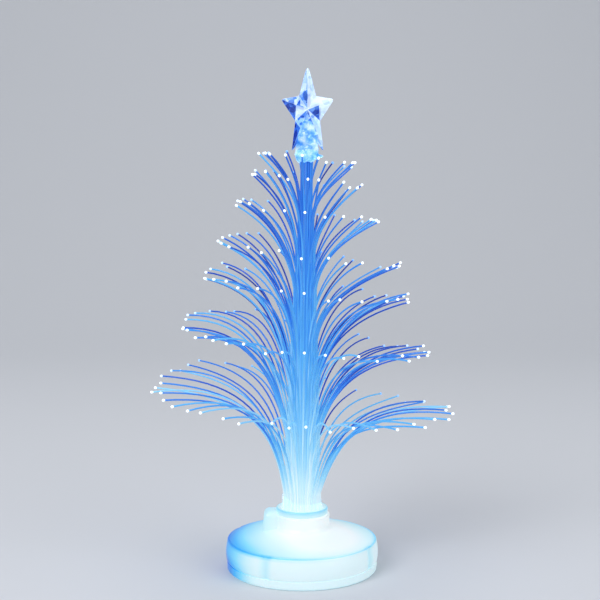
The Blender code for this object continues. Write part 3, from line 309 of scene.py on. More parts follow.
def box(name, low, high, round_by=0.0):
    bm = bmesh.new()
    bmesh.ops.create_cube(bm, size=1)
    low, high = Vector(low), Vector(high)
    bmesh.ops.scale(bm, vec=high - low, verts=bm.verts)
    bmesh.ops.translate(bm, vec=(low + high) / 2, verts=bm.verts)
    mesh = bpy.data.meshes.new(name)
    bm.to_mesh(mesh)
    bm.free()
    obj = make_object(name, mesh)
    if round_by:
        bevel = obj.modifiers.new("Round", "BEVEL")
        bevel.width = round_by
        bevel.segments = BOX_ROUND_STEPS
        apply_modifiers(obj)
    return obj


def apply_modifiers(obj):
    bpy.context.view_layer.update()
    graph = bpy.context.evaluated_depsgraph_get()
    mesh = bpy.data.meshes.new_from_object(obj.evaluated_get(graph))
    obj.modifiers.clear()
    obj.data = mesh


def combine(obj, other, operation):
    """Joins or cuts with another object, which is then removed."""
    modifier = obj.modifiers.new(operation, "BOOLEAN")
    modifier.operation = operation
    modifier.solver = "EXACT"
    modifier.object = other
    apply_modifiers(obj)
    bpy.data.objects.remove(other)
    return obj


def clean(obj):
    """Takes out the slivers that cuts leave, and closes what they leave open."""
    bm = bmesh.new()
    bm.from_mesh(obj.data)
    bmesh.ops.remove_doubles(bm, verts=bm.verts, dist=SLIVER)
    bmesh.ops.dissolve_degenerate(bm, edges=bm.edges, dist=SLIVER)
    gaps = [edge for edge in bm.edges if edge.is_boundary]
    if gaps:
        bmesh.ops.holes_fill(bm, edges=gaps)
    unused = [vertex for vertex in bm.verts if not vertex.link_faces]
    bmesh.ops.delete(bm, geom=unused, context="VERTS")
    bm.to_mesh(obj.data)
    bm.free()


# Fibres

# The tiers, top to bottom, with the seeds and values of the CAD strands. Only the lowest tier
# differs: it leaves the bundle more upright here, most of all on the left.
TIER_STRANDS = (18, 20, 23, 27, 31, 40, 45)
TIER_LEAVE_SHARES = (0.655, 0.578, 0.490, 0.371, 0.263, 0.143, 0.0)
TIER_TIP_SHARES = (0.795, 0.747, 0.674, 0.578, 0.497, 0.374, 0.230)
TIER_REACH_SHARES = (0.324, 0.362, 0.478, 0.622, 0.700, 0.830, 1.0)
TIER_SWAY_SHARES = (0.0, 0.02, 0.02, 0.06, 0.02, 0.015, 0.0)
TIER_TILT_DEG = (5.5, 7.4, 6.5, 8.0, 6.0, 5.6, 4.0)
TIER_LEAVE_DEG = (8.0, 8.0, 9.0, 10.0, 12.0, 14.0, 12.5)
TIER_LEAVE_SWAY_DEG = (0.0,) * 6 + (4.5,)
TIER_END_DEG = (42.0, 40.0, 30.0, 20.0, 10.0, 0.0, 0.0)
TIER_RISE_SHARES = (0.36, 0.35, 0.35, 0.34, 0.34, 0.35, 0.45)
TIER_ARCH_SHARES = (0.38, 0.38, 0.40, 0.42, 0.45, 0.50, 0.50)
BACK_TILT_SHARE = 0.16
STRAND_SEED = 31
AZIMUTH_SPREAD_SHARE = 0.10
REACH_SPREAD_SHARE = 0.035
HEIGHT_SPREAD_SHARE = 0.035
DRIFT_SHARE = 0.30
END_SPREAD_DEG = 6.0

# Each fibre's round section, and the bead at its cut end: its shares of length and radius
FIBRE_RADIUS = 0.00020
FIBRE_FACES = 8
FIBRE_SMOOTH_DEG = 70.0
TRUNK_STEP = 0.006
STRAND_STEPS = 18
WANDER_SHARE = 0.5
WANDER_SEED = 100
TIP_RADIUS = 0.00032
TIP_LENGTH = 0.00075
TIP_PROFILE = ((0.10, 0.45), (0.30, 0.90), (0.55, 1.0), (0.78, 0.82), (0.93, 0.45))

# The straight fibres in the middle, which carry the star: rings of a count at a radius
CORE_RINGS = ((1, 0.0), (7, 0.00068), (15, 0.00131))
CORE_TOP = 0.1066
CORE_STEPS = 12
CORE_SEED = 7
CORE_SPREAD_SHARE = 0.1
CORE_LIGHTS = (-0.08, 0.12)

# The glow of the bundle by height, and how unlike its fibres are there, least at the foot
TRUNK_GLOW = (
    (0.010, 1.0),
    (0.022, 0.94),
    (0.034, 0.80),
    (0.048, 0.66),
    (0.072, 0.51),
    (0.110, 0.34),
)
UNLIKENESS = ((0.018, 0.25), (0.045, 1.0))
OWN_GLOW = 0.07

# The glow of each tier's arching fibres, how much it differs, and how many stand out brighter
ARM_GLOW = (0.22, 0.21, 0.20, 0.21, 0.23, 0.28, 0.37)
ARM_GLOW_SPREAD = 0.16
ARM_END_GLOW = 0.10
BRIGHT_SHARE = 0.22
BRIGHT_LIGHT = 1.9
PARTING_SHARE = 0.26
FRONT_SHARE = 0.92
BACK_DIMMING = 0.14
BEAD_BACK_DIMMING = 0.60

FIBRE_LIGHT = (
    (0.0, (0.003, 0.020, 0.22)),
    (0.25, (0.010, 0.075, 0.44)),
    (0.45, (0.034, 0.19, 0.60)),
    (0.55, (0.055, 0.28, 0.64)),
    (0.65, (0.09, 0.36, 0.66)),
    (0.85, (0.27, 0.54, 0.70)),
    (1.0, (0.60, 0.70, 0.73)),
)
TIP_LIGHT = ((0.0, (0.02, 0.10, 0.65)), (0.5, (0.12, 0.36, 0.86)), (1.0, (0.82, 0.94, 1.0)))
TIP_BASE = ((0.0, (0.03, 0.14, 0.62)), (0.5, (0.20, 0.42, 0.84)), (1.0, (0.80, 0.90, 0.96)))


def fibre_material():
    """Lit plastic fibre, near white where the lamp feeds it and blue further on."""
    made = node_material(
        "lit_fibre", (0.1, 0.3, 0.9), 0.16, Emission_Strength=0.50, Specular_IOR_Level=0.35
    )
    return lit_by(made, written_glow(made), FIBRE_LIGHT)


def tip_material():
    """The bright cut end of a fibre."""
    made = node_material("fibre_tip", (0.78, 0.88, 0.95), 0.25, Emission_Strength=0.8)
    return lit_by(made, written_glow(made), TIP_LIGHT, TIP_BASE)


def lean(height):
    """How far the bundle leans to the right at a height."""
    share = (height - LEAN_START) / (STAR_CENTRE - LEAN_START)
    return LEAN_REACH * max(share, 0)


def flat_sided(radius, azimuth):
    """The radius of the bundle's many-sided layers, whose corners lie at the given one."""
    side = tau / BUNDLE_SIDES
    off_middle = azimuth % side - side / 2
    return radius * cos(side / 2) / cos(off_middle)


def tier_height(share):
    return FAN_START + share * (TREE_HEIGHT - FAN_START)


def on_bundle(radius, height, azimuth):
    """The point at a radius and azimuth round the middle of the leaning bundle."""
    x, y = polar(radius, azimuth)
    return Vector((x + lean(height), y, height))


def on_curve(cage, share):
    """The point at a share of the cubic curve that four points control."""
    rest = 1 - share
    weights = (rest**3, 3 * share * rest**2, 3 * share**2 * rest, share**3)
    return sum((point * weight for point, weight in zip(cage, weights)), Vector((0, 0)))


def strand_cage(tier, index, chance):
    """Where one strand stands and arches to, drawn in the same order as in the CAD source."""
    count = TIER_STRANDS[tier]
    shift = chance.uniform(-AZIMUTH_SPREAD_SHARE, AZIMUTH_SPREAD_SHARE)
    azimuth = tau * (index + shift) / count
    drift = tau / count * chance.uniform(-DRIFT_SHARE, DRIFT_SHARE)
    outer = CORE_RADIUS + (tier + 1) * LAYER_PITCH
    root = flat_sided(outer - (LAYER_PITCH - LAYER_GAP) / 2, azimuth)
    leave = tier_height(TIER_LEAVE_SHARES[tier])
    reach = TIER_REACH_SHARES[tier] * SPREAD_RADIUS
    reach *= 1 - chance.uniform(0, 2 * REACH_SPREAD_SHARE)
    reach *= 1 + TIER_SWAY_SHARES[tier] * cos(azimuth)
    rise = tier_height(TIER_TIP_SHARES[tier]) - leave
    rise *= 1 + chance.uniform(-HEIGHT_SPREAD_SHARE, HEIGHT_SPREAD_SHARE)
    tilt = tan(radians(TIER_TILT_DEG[tier]))
    tilt += BACK_TILT_SHARE * max(sin(azimuth), 0)
    rise -= reach * cos(azimuth) * tilt
    end = radians(TIER_END_DEG[tier] + chance.uniform(-END_SPREAD_DEG, END_SPREAD_DEG))
    chord = hypot(reach - root, rise)
    away = radians(TIER_LEAVE_DEG[tier] + TIER_LEAVE_SWAY_DEG[tier] * cos(azimuth))
    first = Vector((root, leave))
    up = Vector((sin(away), cos(away))) * chord * TIER_RISE_SHARES[tier]
    back = Vector((cos(end), sin(end))) * chord * TIER_ARCH_SHARES[tier]
    last = Vector((reach, leave + rise))
    return (first, first + up, last - back, last), azimuth, drift


def bundle_glow(height, light):
    """The glow at a height in the bundle, of a fibre whose own light differs by that much."""
    return stepped(height, TRUNK_GLOW) + light * stepped(height, UNLIKENESS)


def strand_line(tier, index, chance, wander):
    """A fibre's points, up the bundle and out along its arch, their glows and its bead's.

    The front fibres stay as bright as the bundle behind them, and the rear ones are dimmer.
    """
    cage, azimuth, drift = strand_cage(tier, index, chance)
    root, leave = cage[0]
    sway = wander.uniform(-WANDER_SHARE, WANDER_SHARE) * tau / TIER_STRANDS[tier]
    light = wander.uniform(-1, 1)
    if wander.random() < BRIGHT_SHARE:
        light = BRIGHT_LIGHT
    ahead = max(-sin(azimuth), 0) ** 2
    behind = max(sin(azimuth), 0)
    line, glows = [], []
    trunk_steps = max(2, round((leave - BUNDLE_BOTTOM) / TRUNK_STEP))
    for step in range(trunk_steps):
        share = step / trunk_steps
        height = BUNDLE_BOTTOM + share * (leave - BUNDLE_BOTTOM)
        turn = sway * sin(pi * share)
        line.append(on_bundle(root, height, azimuth + turn))
        glows.append(bundle_glow(height, OWN_GLOW * light))
    for step in range(STRAND_STEPS + 1):
        share = step / STRAND_STEPS
        out, height = on_curve(cage, share)
        line.append(on_bundle(out, height, azimuth + drift * share**2))
        trunk = stepped(height, TRUNK_GLOW)
        arm = ARM_GLOW[tier] + ARM_GLOW_SPREAD * light + ARM_END_GLOW * share**2
        arm += (trunk - arm) * FRONT_SHARE * ahead - BACK_DIMMING * behind
        fade = min((out - root) / (PARTING_SHARE * SPREAD_RADIUS), 1)
        inner = bundle_glow(height, OWN_GLOW * light * (1 - share))
        glows.append(inner + (arm - trunk) * fade * (2 - fade))
    return line, glows, 1.0 - BEAD_BACK_DIMMING * behind


def cut_back(line, length):
    """The line without its last stretch of that length."""
    line = list(line)
    while len(line) > 2 and (line[-1] - line[-2]).length < length:
        length -= (line[-1] - line[-2]).length
        line.pop()
    step = line[-1] - line[-2]
    line[-1] = line[-2] + step * (1 - length / step.length)
    return line


def fibre_rings(line, glows, tip):
    """The rings of a fibre and its bead, each as middle, radius, two ways across and glow."""
    along = [(b - a).normalized() for a, b in zip(line, line[1:])]
    along = [along[0], *((a + b).normalized() for a, b in zip(along, along[1:])), along[-1]]
    rings = []
    side = along[0].orthogonal().normalized()
    for spot, ahead, glow in zip(line, along, glows):
        side = (side - ahead * side.dot(ahead)).normalized()
        rings.append((spot, FIBRE_RADIUS, side.copy(), ahead.cross(side), glow))
    if tip:
        for length_share, swell in TIP_PROFILE:
            spot = line[-1] + ahead * TIP_LENGTH * length_share
            rings.append((spot, TIP_RADIUS * swell, side, ahead.cross(side), tip))
    return rings, ahead


def add_fibre(cloud, line, glows, tip=None):
    """Adds a round fibre to a cloud: the points, faces, materials and glows of many fibres."""
    points, faces, kinds, lights = cloud
    if tip:
        line = cut_back(line, TIP_LENGTH)
    rings, ahead = fibre_rings(line, glows, tip)
    start = len(points)
    for spot, radius, across, other, glow in rings:
        for face in range(FIBRE_FACES):
            angle = tau * face / FIBRE_FACES
            way = across * cos(angle) + other * sin(angle)
            points.append(spot + way * radius)
            lights.append(glow)
    faces += ring_faces(len(rings) - 1, len(rings), FIBRE_FACES, start)
    faces.append(tuple(start + face for face in reversed(range(FIBRE_FACES))))
    bead_rings = len(rings) - len(line)
    kinds += [0] * (FIBRE_FACES * (len(line) - 1)) + [1] * (FIBRE_FACES * bead_rings) + [0]
    last = start + (len(rings) - 1) * FIBRE_FACES
    if tip:
        pole = len(points)
        points.append(line[-1] + ahead * TIP_LENGTH)
        lights.append(tip)
        for face in range(FIBRE_FACES):
            faces.append((last + face, last + (face + 1) % FIBRE_FACES, pole))
        kinds += [1] * FIBRE_FACES
    else:
        faces.append(tuple(last + face for face in range(FIBRE_FACES)))
        kinds.append(0)


def fibre_object(name, cloud, materials):
    points, faces, kinds, lights = cloud
    fibres = mesh_object(name, points, faces, materials, kinds)
    write_glow(fibres, lights)
    return smooth(fibres, FIBRE_SMOOTH_DEG)


def build_tier(tier, materials):
    chance = random.Random(STRAND_SEED + tier)
    wander = random.Random(WANDER_SEED + tier)
    cloud = ([], [], [], [])
    for index in range(TIER_STRANDS[tier]):
        line, glows, bead = strand_line(tier, index, chance, wander)
        add_fibre(cloud, line, glows, bead)
    fibres = fibre_object(f"fibres_{tier + 1}", cloud, materials)
    put(fibres, "base", f"fibre_tier_{tier + 1}")


def build_core(material):
    wander = random.Random(CORE_SEED)
    rise = CORE_TOP - BUNDLE_BOTTOM
    heights = [BUNDLE_BOTTOM + rise * step / CORE_STEPS for step in range(CORE_STEPS + 1)]
    cloud = ([], [], [], [])
    for count, radius in CORE_RINGS:
        for index in range(count):
            shift = wander.uniform(-CORE_SPREAD_SHARE, CORE_SPREAD_SHARE)
            azimuth = tau * (index + shift) / count
            light = wander.uniform(*CORE_LIGHTS)
            line = [on_bundle(radius, height, azimuth) for height in heights]
            add_fibre(cloud, line, [bundle_glow(height, light) for height in heights])
    put(fibre_object("fibres_core", cloud, (material,)), "base", "fibre_core")


def build_fibres():
    lit, bright = fibre_material(), tip_material()
    for tier in range(len(TIER_STRANDS)):
        build_tier(tier, (lit, bright))
    build_core(lit)


# Housing

# The neck's edge, the rings below it, and the fillet that joins it to the conical top
NECK_EDGE = 0.00016
NECK_RING_DEPTHS = (0.0009, 0.0015)
NECK_FILLET = 0.0012
# The rings of the cone, and how far the cone's outer end stands above the rim
CONE_START = 0.0014
CONE_PITCH = 0.00088
CONE_RINGS = 11
CONE_RISE = 0.0003
# The line near the rim: where the cone ends, then offsets from its radius and depths
LINE_LIP = 0.00018
LINE_PROFILE = ((-0.00013, 0.00005), (-0.00006, 0.00022), (0.00004, 0.00022), (0.00009, 0.00008))
# The rounded rim, the side with its bulge, and the chamfers at the foot and inside
RIM_ROUNDING = 0.0003
RIM_DROP = 0.00012
SIDE_STEPS = 12
SIDE_BULGE = 0.0003
FOOT_CHAMFER = (0.00018, 0.0002)
INNER_CHAMFER = 0.0007
# How deep the skin is that the side grooves sink, and in what height they run out
GROOVED_SKIN = 0.0006

# The key lug, and its clearance to the ferrule's flange and to the neck's top
LUG_FOOT = 0.0089
LUG_OVERLAP = 0.0003
LUG_ROUNDING = 0.0013
LUG_SPLAY = 0.0004
LUG_SPLAY_POWER = 1.5
FLANGE_CLEARANCE = 0.00015
NECK_TOP_CLEARANCE = 0.00005

# Where the top glows most, and from how near to how far its light falls off
GLOW_CENTRE = (0.0040, -0.0050, 0.0080)
GLOW_NEAR = 0.0085
GLOW_FAR = 0.0290
# The way that the side faces where its painted light is brightest, and from dim to bright, how
# far it faces that way and how it glows
SIDE_WAY = (0.8, -0.6, 0.0)
SIDE_FACINGS = (-0.88, 0.12)
SIDE_GLOWS = (0.11, 0.88)
TRAY_FACINGS = (-0.70, 0.10)
TRAY_GLOWS = (0.03, 0.86)
BACK_GLOW = 0.32
TOP_BACK_GLOW = 0.16
# The tray's glow below and inside, which starts by how far down it faces and by radius
TRAY_EVEN_GLOW = 0.76
TRAY_UNDER = (0.6, 0.95)
TRAY_INSIDE = (0.0172, 0.0168)

# Painted shade on the housing: on the left of its top, at its foot, in its side grooves and along
# the line
LEFT_START_SHARE = 0.45
RIM_SHADE = 0.30
RIM_SHADE_RADIUS = LINE_RADIUS - 0.0008
RIM_SHADE_WIDTH = 0.0032
SIDE_RADIUS = RIM_RADIUS - 0.0009
SIDE_TOP = RIM_HEIGHT + 0.0002
SIDE_FADE = 0.0008
FOOT_SHADE = 0.60
FOOT_SHADE_HEIGHT = 0.0050
GROOVE_SHADE = 0.17
GROOVE_SHADE_RADIUS = RIM_RADIUS - 0.0012
GROOVE_SHADE_WIDTH = 0.0046
LINE_SHADE = 0.34
LINE_SHADE_WIDTH = 0.00034
LINE_SHADE_LEFT_LOSS = 0.7

HOUSING_LIGHT = (
    (0.0, (0.0, 0.09, 0.58)),
    (0.25, (0.01, 0.30, 0.78)),
    (0.50, (0.13, 0.56, 0.82)),
    (0.75, (0.46, 0.78, 0.84)),
    (1.0, (0.78, 0.86, 0.87)),
)
HOUSING_BASE = (
    (0.0, (0.01, 0.16, 0.52)),
    (0.25, (0.03, 0.34, 0.62)),
    (0.50, (0.18, 0.48, 0.63)),
    (0.75, (0.42, 0.55, 0.60)),
    (1.0, (0.55, 0.59, 0.60)),
)
# How light scatters in milky plastic, and its grain: scale, bump, and roughness from and to
SCATTERING = {"Subsurface_Weight": 0.15, "Subsurface_Scale": 0.002}
MILKY_GRAIN = (900.0, 0.05, 0.26, 0.38)


def milky(name):
    """Milky plastic lit from inside."""
    values = {"Emission_Strength": 0.50, "Coat_Weight": 0.2, "Coat_Roughness": 0.2, **SCATTERING}
    return node_material(name, (0.45, 0.60, 0.66), 0.32, **values)


def housing_material():
    made = milky("milky_housing")
    lit_by(made, written_glow(made), HOUSING_LIGHT, HOUSING_BASE)
    return grain(made, *MILKY_GRAIN)


def tray_material():
    """As the housing's side, with its glow, painted lighter where it faces SIDE_WAY, worked out
    from where each point lies.
    """
    made = milky("milky_tray")
    spots = add(made, "ShaderNodeTexCoord")
    level = vector_math(made, "MULTIPLY", spots.outputs["Object"], (1, 1, 0))
    way = vector_math(made, "NORMALIZE", level)
    facing = vector_math(made, "DOT_PRODUCT", way, SIDE_WAY)
    outside = map_range(made, facing, TRAY_FACINGS, TRAY_GLOWS, "SMOOTHSTEP")
    behind = vector_math(made, "DOT_PRODUCT", way, (0, 1, 0))
    back_glow = map_range(made, behind, (0, 1), (0, BACK_GLOW))
    outside = number_math(made, "ADD", outside, back_glow)
    downward = vector_math(made, "DOT_PRODUCT", spots.outputs["Normal"], (0, 0, -1))
    under = map_range(made, downward, TRAY_UNDER, (0, 1))
    radius = vector_math(made, "LENGTH", level)
    inside = map_range(made, radius, TRAY_INSIDE, (0, 1))
    glow = add(made, "ShaderNodeMix", B=TRAY_EVEN_GLOW)
    link(number_math(made, "MAXIMUM", under, inside), glow.inputs["Factor"])
    link(outside, glow.inputs["A"])
    lit_by(made, glow.outputs["Result"], HOUSING_LIGHT, HOUSING_BASE)
    return grain(made, *MILKY_GRAIN)


def groove_share(azimuth, width=GROOVE_WIDTH):
    """How deep a side groove is at an azimuth, as a share of its full depth."""
    step = 360 / GROOVE_COUNT
    off = (degrees(azimuth) + 90 - GROOVE_PHASE_DEG + step / 2) % step - step / 2
    across = abs(radians(off)) * BASE_RADIUS / (width / 2)
    return cos(min(across, 1) * pi / 2) ** 2


def side_glow(spot, radius, behind):
    """The side's painted light, brightest where it faces SIDE_WAY."""
    dim, bright = SIDE_FACINGS
    least, most = SIDE_GLOWS
    facing = (spot.x * SIDE_WAY[0] + spot.y * SIDE_WAY[1]) / radius
    glow = least + (most - least) * eased(clamp((facing - dim) / (bright - dim)))
    return min(glow + BACK_GLOW * behind, most)


def housing_glow(spot):
    """Near white round the lamp, and bluer by painted shade to the left, low down and in the
    grooves.
    """
    away = (spot - Vector(GLOW_CENTRE)).length
    glow = (GLOW_FAR - away) / (GLOW_FAR - GLOW_NEAR)
    radius = hypot(spot.x, spot.y)
    left = max(-spot.x / BASE_RADIUS - LEFT_START_SHARE, 0) / (1 - LEFT_START_SHARE)
    behind = max(spot.y / BASE_RADIUS, 0)
    glow += TOP_BACK_GLOW * behind
    glow -= RIM_SHADE * left * max(1 - abs(radius - RIM_SHADE_RADIUS) / RIM_SHADE_WIDTH, 0)
    if radius > SIDE_RADIUS:
        side = side_glow(spot, radius, behind)
        glow += (side - glow) * clamp((SIDE_TOP - spot.z) / SIDE_FADE)
        glow -= FOOT_SHADE * left**2 * max(1 - spot.z / FOOT_SHADE_HEIGHT, 0)
    if radius > GROOVE_SHADE_RADIUS:
        azimuth = atan2(spot.y, spot.x)
        glow -= GROOVE_SHADE * groove_share(azimuth, GROOVE_SHADE_WIDTH)
        off_line = hypot(radius - LINE_RADIUS, spot.z - LINE_HEIGHT)
        shade = LINE_SHADE * max(1 - off_line / LINE_SHADE_WIDTH, 0)
        glow -= shade * (1 - LINE_SHADE_LEFT_LOSS * left)
    return glow


def panel_change(radius, height, azimuth):
    """Sinks the grooves into the side wall, and lets them run out at the rim."""
    if radius > WAIST_RADIUS - GROOVED_SKIN:
        fade = clamp((RIM_HEIGHT - height) / GROOVED_SKIN + 1)
        radius -= GROOVE_DEPTH * groove_share(azimuth) * fade
    return radius, height


def crown(radius):
    """Height of the base's conical top at a radius."""
    share = (LINE_RADIUS - radius) / (LINE_RADIUS - NECK_RADIUS - NECK_FILLET)
    low = RIM_HEIGHT + CONE_RISE
    return low + share * (CROWN_HEIGHT - low)


def side_profile():
    """The side below the rim, which bulges a little and widens to the waist."""
    top = RIM_HEIGHT - RIM_ROUNDING
    points = []
    for step in range(1, SIDE_STEPS):
        share = step / SIDE_STEPS
        bulge = SIDE_BULGE * 4 * share * (1 - share)
        radius = RIM_RADIUS + (WAIST_RADIUS - RIM_RADIUS) * share + bulge
        points.append((radius, top + share * (SHELL_BOTTOM - top)))
    return points


def housing_profile():
    """The upper housing from the neck's bore over its top and side, and back inside."""
    lip = LINE_RADIUS - LINE_LIP
    cone = [NECK_RADIUS + CONE_START + ring * CONE_PITCH for ring in range(CONE_RINGS)]
    fillet_centre = (NECK_RADIUS + NECK_FILLET, CROWN_HEIGHT + NECK_FILLET)
    ceiling = RIM_HEIGHT - SHELL_WALL
    return [
        (NECK_BORE, NECK_TOP),
        *arc((NECK_RADIUS - NECK_EDGE, NECK_TOP - NECK_EDGE), NECK_EDGE, 90, 0, 3),
        *((NECK_RADIUS, NECK_TOP - depth) for depth in NECK_RING_DEPTHS),
        *arc(fillet_centre, NECK_FILLET, 180, 256, 6),
        *((radius, crown(radius)) for radius in cone),
        (lip, crown(lip)),
        *((LINE_RADIUS + off, crown(LINE_RADIUS) - depth) for off, depth in LINE_PROFILE),
        *arc((RIM_RADIUS - RIM_ROUNDING, RIM_HEIGHT - RIM_DROP), RIM_ROUNDING, 66, 4, 5),
        *side_profile(),
        (WAIST_RADIUS, SHELL_BOTTOM + FOOT_CHAMFER[1]),
        (WAIST_RADIUS - FOOT_CHAMFER[0], SHELL_BOTTOM),
        (WAIST_RADIUS - SHELL_WALL, SHELL_BOTTOM),
        (WAIST_RADIUS - SHELL_WALL, ceiling),
        (WAIST_RADIUS - 2 * SHELL_WALL, ceiling + INNER_CHAMFER),
        (NECK_RADIUS, CROWN_HEIGHT - SHELL_WALL),
        (PORT_RADIUS, CROWN_HEIGHT - SHELL_WALL),
        (PORT_RADIUS, LEDGE_HEIGHT),
        (NECK_BORE, LEDGE_HEIGHT),
    ]


def ferrule_room(material):
    """What is cut from the lug: the flange's seat, and the neck's inside below it."""
    wall_middle = (NECK_BORE + NECK_RADIUS) / 2
    reach = FLANGE_RADIUS + FLANGE_CLEARANCE
    top, seat, low = LUG_TOP + OVERRUN, NECK_TOP - NECK_TOP_CLEARANCE, LUG_FOOT - OVERRUN
    steps = [(reach, top), (reach, seat), (wall_middle, seat), (wall_middle, low)]
    return turned("seat", [(NEAR_AXIS, top), *steps, (NEAR_AXIS, low)], (material,))


def build_lug(material):
    """The key lug at the neck's left, rounded above and splayed towards its flat foot."""
    low = (-LUG_REACH, -LUG_WIDTH / 2, LUG_FOOT - 2 * LUG_ROUNDING)
    high = (-PORT_RADIUS - LUG_OVERLAP, LUG_WIDTH / 2, LUG_TOP)
    lug = box("lug", low, high, LUG_ROUNDING)
    bm = bmesh.new()
    bm.from_mesh(lug.data)
    everything = bm.verts[:] + bm.edges[:] + bm.faces[:]
    cut = bmesh.ops.bisect_plane(
        bm, geom=everything, plane_co=(0, 0, LUG_FOOT), plane_no=(0, 0, 1), clear_inner=True
    )
    rim = [piece for piece in cut["geom_cut"] if isinstance(piece, bmesh.types.BMEdge)]
    bmesh.ops.holes_fill(bm, edges=rim)
    bmesh.ops.recalc_face_normals(bm, faces=bm.faces)
    bm.to_mesh(lug.data)
    bm.free()
    for vertex in lug.data.vertices:
        if vertex.co.x < -NECK_RADIUS:
            share = max(LUG_TOP - vertex.co.z, 0) / (LUG_TOP - LUG_FOOT)
            vertex.co.x -= LUG_SPLAY * share**LUG_SPLAY_POWER
    lug.data.materials.append(material)
    return combine(lug, ferrule_room(material), "DIFFERENCE")


def build_housing():
    made = housing_material()
    housing = turned("housing", housing_profile(), (made,), change=panel_change)
    clean(combine(housing, build_lug(made), "UNION"))
    write_glow(housing, [housing_glow(vertex.co) for vertex in housing.data.vertices])
    put(smooth(housing, 32), "base", "base_shell")


# Ferrule and tape

FERRULE_STEPS = 128
FERRULE_CLEARANCE = 0.0002
# The bore's mouth, as offsets from the bore's radius and depths below the top
MOUTH_PROFILE = ((0.0, 0.0004), (0.00012, 0.00012), (0.00030, 0.0))
FLANGE_ROUNDING = 0.0004
FLANGE_TOP_INSET = 0.0007
FLANGE_RING_RISE = 0.0006
FLANGE_CHAMFER = 0.0001

# The glow at the bore, what is lost towards the flange's edge, and the painted shade along the
# edge
FERRULE_GLOW = 0.94
FERRULE_GLOW_LOSS = 0.28
EDGE_SHADE = 0.15
EDGE_SHADE_WIDTH = 0.0004
EDGE_INSET = 0.00012
FLANGE_FOOT_GLOW = 0.14
FLANGE_FOOT_HEIGHT = 0.0010

# The tape's oblique upper edge: its corner stands high over a span and drops beside it
TAPE_STEPS = 96
TAPE_THICKNESS = 0.00012
TAPE_CORNER_DEG = 170.0
TAPE_CORNER_HALF_DEG = 40.0
TAPE_SLOPE_DEG = 50.0
TAPE_DROP = 0.0016
FILM_TINT = (0.90, 0.97, 1.0)
FILM_LIGHT = (0.6, 0.85, 1.0, 1)


def ferrule_profile():
    top = FERRULE_TOP
    low = LEDGE_HEIGHT + FERRULE_CLEARANCE
    return [
        *((FERRULE_BORE + off, top - depth) for off, depth in MOUTH_PROFILE),
        (FLANGE_RADIUS - FLANGE_TOP_INSET, top),
        *arc((FLANGE_RADIUS - FLANGE_ROUNDING, top - FLANGE_ROUNDING), FLANGE_ROUNDING, 90, 0, 6),
        (FLANGE_RADIUS, FLANGE_BOTTOM + FLANGE_RING_RISE),
        (FLANGE_RADIUS, FLANGE_BOTTOM + FLANGE_CHAMFER),
        (FLANGE_RADIUS - FLANGE_CHAMFER, FLANGE_BOTTOM),
        (FERRULE_OUTER, FLANGE_BOTTOM),
        (FERRULE_OUTER, low),
        (FERRULE_BORE, low),
    ]


def ferrule_glow(spot):
    """Brightest at the bore and at the flange's foot, with a painted shade line along its upper
    edge.
    """
    radius = hypot(spot.x, spot.y)
    outward = max((radius - FERRULE_BORE) / (FLANGE_RADIUS - FERRULE_BORE), 0)
    off_edge = hypot(radius - FLANGE_RADIUS + EDGE_INSET, spot.z - FERRULE_TOP + EDGE_INSET)
    glow = FERRULE_GLOW - FERRULE_GLOW_LOSS * outward
    glow -= EDGE_SHADE * max(1 - off_edge / EDGE_SHADE_WIDTH, 0)
    return glow + FLANGE_FOOT_GLOW * max(1 - (spot.z - FLANGE_BOTTOM) / FLANGE_FOOT_HEIGHT, 0)


def build_ferrule():
    made = milky("milky_ferrule")
    lit_by(made, written_glow(made), HOUSING_LIGHT, HOUSING_BASE)
    ferrule = turned("ferrule_ring", ferrule_profile(), (made,), FERRULE_STEPS)
    write_glow(ferrule, [ferrule_glow(vertex.co) for vertex in ferrule.data.vertices])
    put(smooth(ferrule), "base", "fibre_ferrule")


def tape_change(radius, height, azimuth):
    """Cuts the tape's upper edge oblique."""
    if height > FERRULE_TOP:
        off_corner = abs((degrees(azimuth) - TAPE_CORNER_DEG + 180) % 360 - 180)
        share = clamp((off_corner - TAPE_CORNER_HALF_DEG) / TAPE_SLOPE_DEG)
        height -= TAPE_DROP * eased(share)
    return radius, height


def build_wrap():
    film = clear_plastic("clear_film", FILM_TINT, 0.08, clearness=0.95, ior=1.06, light=0.12)
    shader_of(film).inputs["Emission Color"].default_value = FILM_LIGHT
    inner = WRAP_OUTER - TAPE_THICKNESS
    top = [(inner, WRAP_TOP), (WRAP_OUTER, WRAP_TOP)]
    foot = [(WRAP_OUTER, BUNDLE_BOTTOM), (inner, BUNDLE_BOTTOM)]
    wrap = turned("tape_wrap", top + foot, (film,), TAPE_STEPS, tape_change)
    put(smooth(wrap), "base", "bundle_wrap")


# Star

# Half of the star's outline, tips and notches in turn, from its top to its lower notch
STAR_RIM = (
    (0.0, 0.01079),
    (0.0020, 0.0032),
    (0.00622, 0.00248),
    (0.0029, -0.0026),
    (0.00376, -0.0097),
    (0.0, -0.0047),
)
STAR_HALF = 0.0022
STAR_EDGE = 0.00045
RIDGE_REACH_SHARE = 0.44
RIDGE_DEPTH_SHARE = 0.84
STAR_ROUNDING = 0.00012
STAR_TIP_ROUNDING = 0.0006
STAR_TOP_ROUNDING = 0.0020

# The socket below the star and the bore for the bundle, as radius and height
SOCKET_STEPS = 48
SOCKET_PROFILE = (
    (0.0003, 0.10935),
    (0.00177, 0.10935),
    (0.00207, 0.10895),
    (0.00207, 0.10105),
    (0.00197, 0.10095),
    (0.00172, 0.10095),
    (0.00172, 0.10695),
    (0.0003, 0.10695),
)
BORE_PROFILE = ((0.0001, 0.10695), (0.00172, 0.10695), (0.00172, 0.09), (0.0001, 0.09))
